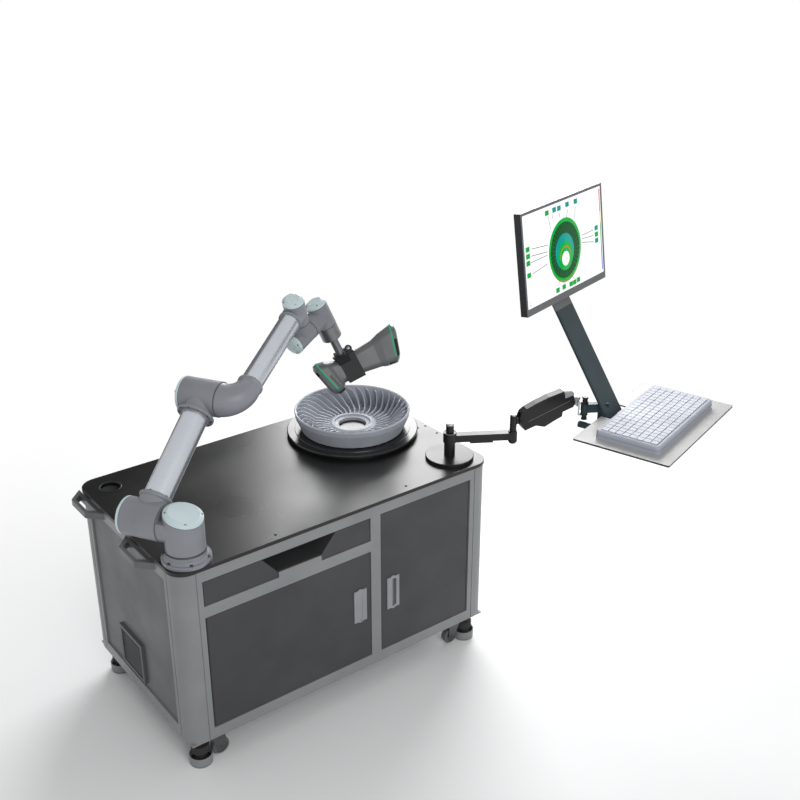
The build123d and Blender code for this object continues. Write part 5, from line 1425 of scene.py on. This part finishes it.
# The hand scanner's lamps and windows
@dataclass
class Scanner:
    """Dresses the hand scanner: lamp lines, windows, lenses, keys and clamp screws."""

    along: tuple[float, float, float] = (0.857, -0.326, 0.399)
    tilt: float = 22.0
    drop: float = 60.0
    tool_end: float = 169.0
    near_line: tuple[float, float] = (-78.5, 14.6)
    far_line: tuple[float, float] = (183.5, -15.0)
    near_head: tuple[float, float] = (-72.0, 13.0)
    far_head: tuple[float, float] = (172.0, 17.0)
    half_height: float = 70.0
    trigger_x: float = 60.0
    grip_top: float = 41.0
    plate_top: float = 53.0
    screws: ScrewRing = field(default_factory=ScrewRing)
    rows: BarRow = field(default_factory=BarRow)

    def place(self) -> Matrix:
        """Frame of the scanner: X along it, Z away from its optics."""
        tool = joint("robot_j6")
        x = Vector(self.along).normalized()
        up = (-tool.axis - x * (-tool.axis).dot(x)).normalized()
        side = up.cross(x)
        tilt = math.radians(self.tilt)
        z = up * math.cos(tilt) + side * math.sin(tilt)
        origin = tool.point + tool.axis * (self.tool_end + self.drop) * MM
        return framed(origin, x, z.cross(x), z)

    def dress(self) -> None:
        """Builds the scanner's small parts."""
        self.lamp_lines()
        self.windows()
        self.vent()
        for name, head in (("near_lens", self.near_head), ("far_lens", self.far_head)):
            self.lens(name, *head)
        self.keys()
        self.clip()

    @staticmethod
    def slanted(x: float, tilt: float) -> tuple[Vector, Vector, Vector]:
        """A head's slanted section: a point on it, the direction across it and the one up it."""
        turn = math.radians(tilt)
        across = Vector((math.cos(turn), 0.0, math.sin(turn)))
        return Vector((x, 0.0, 0.0)), across, Vector((-across.z, 0.0, across.x))

    def between(self, line: tuple[float, float], across: tuple[float, float],
                up: tuple[float, float], side: float | None = None) -> list:
        """Cuts that keep a stretch of a head's surface beside one of its slanted sections.

        Args:
            line: Place and tilt of the section.
            across: Least and most distance from the section in mm.
            up: Least and most distance along it in mm.
            side: Farthest that the stretch reaches towards +Y, or None for both flanks.

        Returns:
            (point, direction) pairs for Shape.skin.
        """
        point, way, rise = self.slanted(*line)
        cuts = [(point + way * across[0], -way), (point + way * across[1], way),
                (point + rise * up[0], -rise), (point + rise * up[1], rise)]
        if side is not None:
            cuts.append((Vector((0.0, side, 0.0)), Vector((0.0, 1.0, 0.0))))
        return cuts

    def lamp_lines(self) -> None:
        """Green lamp line over each head, down both of its flanks."""
        shape = Shape(self.place())
        shape.skin("scanner_body", self.between(self.near_line, (-2.4, 2.4), (-52.0, 90.0)), 0.6)
        shape.skin("scanner_body", self.between(self.far_line, (-2.4, 2.4), (-46.0, 90.0)), 0.6)
        shape.finish("scanner_lamp_lines", "tool", [LAMP_GREEN], "scanner_grey")

    def windows(self) -> None:
        """Black windows beside the lamp lines and round the optics below."""
        shape = Shape(self.place())
        near, far = self.near_line, self.far_line
        shape.skin("scanner_body", self.between(near, (-25.0, -16.0), (27.0, 43.0), -4.0), 0.4)
        shape.skin("scanner_body", self.between(near, (7.0, 17.0), (-46.0, 3.0), -4.0), 0.7)
        shape.skin("scanner_body", self.between(far, (4.5, 17.0), (-44.0, 17.0), -10.0), 0.4)
        shape.skin("scanner_body", self.between(near, (-12.0, 26.0), (-95.0, -64.0)), 0.4)
        shape.skin("scanner_body", self.between(far, (-26.0, 12.0), (-95.0, -64.0)), 0.4)
        shape.finish("scanner_windows", "tool", [WINDOW], "scanner_grey")

    def vent(self) -> None:
        """Ribs across the long window of the near head."""
        point, way, rise = self.slanted(*self.near_line)
        out = way.cross(rise)
        corner = point + way * 12.0 + rise * -43.0 + out * 32.2
        row = self.rows.bars(11, (0.0, 4.2, 0.0), (6.0, 1.1, 1.4), VENT_GREY)
        shape = Shape(self.place())
        shape.absorb(row, framed(corner * MM, way, rise, out))
        shape.finish("scanner_vent", "tool", [VENT_GREY], "scanner_grey")

    def lens(self, name: str, x: float, tilt: float) -> None:
        """Short lens barrel with its glass and a ring of lamps below a head.

        Args:
            name: The piece's name.
            x: Middle of the head along the scanner.
            tilt: How far the lens is turned towards the other head, in degrees.
        """
        lean = tilt if x < 0 else -tilt
        point, way, rise = self.slanted(x, lean)
        frame_down = framed((point + rise * (12.0 - self.half_height)) * MM, way,
                            (-rise).cross(way), -rise)
        shape = Shape(self.place() @ frame_down)
        shape.lathe([(12.0, -10.0), (16.5, -10.0), (16.5, 6.0), (15.5, 7.0), (12.0, 7.0),
                     (11.0, 3.0), (11.0, -10.0)], 56)
        shape.lathe([(0.0, -6.0), (11.2, -6.0), (11.2, 2.0), (8.0, 4.0), (4.0, 5.0), (0.0, 5.3)],
                    48, 1)
        shape.absorb(self.screws.screws(8, 14.1, 1.3, 1.2, LAMP_GREEN),
                     Matrix.Translation((0.0, 0.0, 0.0072)))
        shape.finish(name, "tool", [BLACK_PART, WINDOW, BUTTON_PALE], "scanner_grey")

    def keys(self) -> None:
        """Pale pad round the trigger and a small key beside it on the grip."""
        top = self.grip_top
        shape = Shape(self.place())
        pad = rounded(40.0, 19.0, 9.4, centre=(self.trigger_x + 4.0, 0.0))
        hole = rounded(15.4, 15.4, 7.6, centre=(self.trigger_x, 0.0))
        shape.ring(pad, hole, top - 3.0, top + 0.9)
        shape.slab(rounded(7.0, 6.0, 2.8, centre=(self.trigger_x + 15.0, 0.0)), top + 0.5,
                   top + 1.8, 1, 0.4)
        shape.slab(rounded(9.0, 5.0, 2.4, centre=(self.trigger_x + 34.0, 0.0)), top - 1.0,
                   top + 1.0, 0, 0.4)
        shape.finish("scanner_keys", "tool", [BUTTON_PALE, CAP_SILVER], "button_pale")

    def clip(self) -> None:
        """Round black hub on the clamp's flank with its silver cap, and the clamp's four screws."""
        axis = Vector((0.0, -1.0, 0.0))
        middle = Vector((34.0, -6.0, self.plate_top + 7.0))
        shape = Shape(self.place() @ framed(middle * MM, Vector((1.0, 0.0, 0.0)),
                                            axis.cross(Vector((1.0, 0.0, 0.0))), axis))
        shape.lathe([(8.5, 0.0), (13.0, 0.0), (13.0, 10.0), (12.0, 11.0), (8.5, 11.0)], 48)
        shape.lathe([(0.0, 2.0), (8.8, 2.0), (8.8, 8.0), (6.0, 9.0), (5.0, 12.0), (0.0, 12.4)],
                    40, 1)
        shape.finish("clamp_lever", "tool", [BLACK_PART, CAP_SILVER], "arm_black")
        bolts = Shape(self.place())
        bolts.absorb(self.screws.screws(4, 24.0, 3.2, 3.0, STEEL, turn=45.0),
                     Matrix.Translation((-0.005, 0.0, (self.plate_top + 1.2) * MM)))
        bolts.finish("clamp_bolts", "tool", [STEEL], "steel_bright")


# The studio
@dataclass
class Studio:
    """Camera, floor, world, lamps and the dark card beside them."""

    focal_px: float = 1118.52
    image_px: float = 800.0
    sensor_mm: float = 36.0
    clip_end: float = 200.0
    azimuth: float = -37.380
    elevation: float = 24.499
    eye_mm: tuple[float, float, float] = (-1131.385, -2543.997, 2536.771)
    ambient: float = 0.48
    key_place: tuple[float, float, float] = (2.24, 2.33, 2.35)
    key_aim: tuple[float, float, float] = (0.19, -0.01, 0.74)
    key_size: tuple[float, float] = (2.0, 2.6)
    key_power: float = 140.0
    fill_place: tuple[float, float, float] = (-1.2, -3.9, 2.8)
    fill_aim: tuple[float, float, float] = (0.0, 0.0, 0.6)
    fill_size: tuple[float, float] = (2.5, 2.5)
    fill_power: float = 75.0
    flag_turn: tuple[float, float] = (56.0, 110.0)
    flag_distance: float = 4.2
    flag_height: float = 5.0
    flag_steps: int = 24
    floor_half: float = 60.0
    floor_tone: Colour = (0.93, 0.935, 0.94)
    floor_roughness: float = 0.55
    floor_specular: float = 0.25
    floor_fade: tuple[float, float] = (1.3, 2.6)

    def camera(self) -> None:
        """Sets the camera at the photograph's viewpoint."""
        data = bpy.data.cameras.new("photo camera")
        data.sensor_width = self.sensor_mm
        data.lens = self.focal_px / self.image_px * data.sensor_width
        data.clip_end = self.clip_end
        azimuth, elevation = math.radians(self.azimuth), math.radians(self.elevation)
        back = Vector((math.sin(azimuth) * math.cos(elevation),
                       -math.cos(azimuth) * math.cos(elevation), math.sin(elevation)))
        right = Vector((math.cos(azimuth), math.sin(azimuth), 0.0))
        eye = bpy.data.objects.new("photo camera", data)
        bpy.context.scene.collection.objects.link(eye)
        eye.matrix_world = framed(at(*self.eye_mm), right, back.cross(right), back)
        bpy.context.scene.camera = eye

    def world(self) -> None:
        """Even surroundings: white where seen or mirrored, softer as light."""
        world = bpy.data.worlds.new("studio")
        world.use_nodes = True
        tree = world.node_tree
        sky = tree.nodes["Background"]
        sky.inputs["Color"].default_value = (1.0, 1.0, 1.0, 1.0)
        path = tree.nodes.new("ShaderNodeLightPath")
        seen = tree.nodes.new("ShaderNodeMath")
        seen.operation = "MAXIMUM"
        tree.links.new(path.outputs["Is Camera Ray"], seen.inputs[0])
        tree.links.new(path.outputs["Is Transmission Ray"], seen.inputs[1])
        mirrored = tree.nodes.new("ShaderNodeMath")
        mirrored.operation = "MAXIMUM"
        tree.links.new(seen.outputs[0], mirrored.inputs[0])
        tree.links.new(path.outputs["Is Glossy Ray"], mirrored.inputs[1])
        power = tree.nodes.new("ShaderNodeMapRange")
        power.inputs["To Min"].default_value = self.ambient
        power.inputs["To Max"].default_value = 1.0
        tree.links.new(mirrored.outputs[0], power.inputs["Value"])
        tree.links.new(power.outputs["Result"], sky.inputs["Strength"])
        bpy.context.scene.world = world

    def floor(self) -> None:
        """Pale floor that keeps the shadow and fades to white in the distance."""
        mesh = bpy.data.meshes.new("floor")
        half = self.floor_half
        mesh.from_pydata([(-half, -half, 0), (half, -half, 0), (half, half, 0), (-half, half, 0)],
                         [], [(0, 1, 2, 3)])
        ground = bpy.data.objects.new("floor", mesh)
        bpy.context.scene.collection.objects.link(ground)
        paint = bpy.data.materials.new("floor paint")
        paint.use_nodes = True
        tree = paint.node_tree
        shader = tree.nodes["Principled BSDF"]
        shader.inputs["Base Color"].default_value = (*self.floor_tone, 1.0)
        shader.inputs["Roughness"].default_value = self.floor_roughness
        shader.inputs["Specular IOR Level"].default_value = self.floor_specular
        coords = tree.nodes.new("ShaderNodeTexCoord")
        distance = tree.nodes.new("ShaderNodeVectorMath")
        distance.operation = "LENGTH"
        tree.links.new(coords.outputs["Object"], distance.inputs[0])
        far = Finish.ranged(tree, distance.outputs["Value"], *self.floor_fade, 0.0, 1.0)
        path = tree.nodes.new("ShaderNodeLightPath")
        seen = tree.nodes.new("ShaderNodeMath")
        seen.operation = "MAXIMUM"
        tree.links.new(path.outputs["Is Camera Ray"], seen.inputs[0])
        tree.links.new(path.outputs["Is Glossy Ray"], seen.inputs[1])
        share = tree.nodes.new("ShaderNodeMath")
        share.operation = "MULTIPLY"
        tree.links.new(far, share.inputs[0])
        tree.links.new(seen.outputs[0], share.inputs[1])
        white = tree.nodes.new("ShaderNodeEmission")
        white.inputs["Color"].default_value = (1.0, 1.0, 1.0, 1.0)
        mix = tree.nodes.new("ShaderNodeMixShader")
        tree.links.new(share.outputs[0], mix.inputs["Fac"])
        tree.links.new(shader.outputs[0], mix.inputs[1])
        tree.links.new(white.outputs[0], mix.inputs[2])
        tree.links.new(mix.outputs[0], tree.nodes["Material Output"].inputs["Surface"])
        mesh.materials.append(paint)

    def lamp(self, name: str, place: tuple[float, float, float], aim: tuple[float, float, float],
             size: tuple[float, float], power: float) -> None:
        """Adds a soft lamp.

        Args:
            name: The lamp's name.
            place: Where it stands, in metres in the row frame.
            aim: The point it lights.
            size: Height and width of its face.
            power: Watts.
        """
        data = bpy.data.lights.new(name, "AREA")
        data.shape = "RECTANGLE"
        data.size, data.size_y = size
        data.energy = power
        lamp = bpy.data.objects.new(name, data)
        bpy.context.scene.collection.objects.link(lamp)
        way = Vector(place) - Vector(aim)
        lamp.matrix_world = basis(Vector(place), way, UP)
        lamp.visible_camera = False

    def light(self) -> None:
        """Places the lamps: the key behind at the right, a softer fill at the left front."""
        self.lamp("key light", self.key_place, self.key_aim, self.key_size, self.key_power)
        self.lamp("fill light", self.fill_place, self.fill_aim, self.fill_size, self.fill_power)
        bpy.context.scene.view_settings.view_transform = "Standard"

    def flag(self) -> None:
        """Dark curved card beside the key lamp, seen only by reflections."""
        first, last = self.flag_turn
        steps = self.flag_steps
        rings = []
        for low in (0.0, self.flag_height):
            rings.append([level(first + (last - first) * k / steps) * self.flag_distance + UP * low
                          for k in range(steps + 1)])
        count = steps + 1
        faces = [(k, k + 1, count + k + 1, count + k) for k in range(steps)]
        mesh = bpy.data.meshes.new("flag")
        mesh.from_pydata([tuple(p) for p in rings[0] + rings[1]], [], faces)
        mesh.materials.append(SEAL.material())
        card = bpy.data.objects.new("flag", mesh)
        bpy.context.scene.collection.objects.link(card)
        card.visible_camera = False
        card.visible_diffuse = False
        card.visible_shadow = False
        card.visible_transmission = False


@dataclass
class Dresser:
    """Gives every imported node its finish."""

    def dress(self) -> None:
        """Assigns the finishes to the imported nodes."""
        for name, node in frame["nodes"].items():
            corner = next((c for c in CORNERS if name.endswith(c)), None)
            if name in NODE_FINISH:
                surface = NODE_FINISH[name]
            elif corner:
                surface = CASTER_FINISH[name[:-len(corner) - 1]]
            else:
                raise KeyError(name)
            node.data.materials.clear()
            node.data.materials.append(surface.material())
            LOG.info("%s is finished in %s", name, surface.name)


def main() -> None:
    """Builds the looks in order."""
    logging.basicConfig(level=logging.INFO, format="%(name)s: %(message)s")
    studio = Studio()
    studio.camera()
    studio.world()
    studio.floor()
    studio.light()
    studio.flag()
    Dresser().dress()
    screws = ScrewRing()
    RobotArm(screws=screws).dress()
    Scanner(screws=screws).dress()
    Cabinet().dress()
    SideArm().dress()
    Console().dress()
    Monitor().dress()


if __name__ == "__main__":
    main()
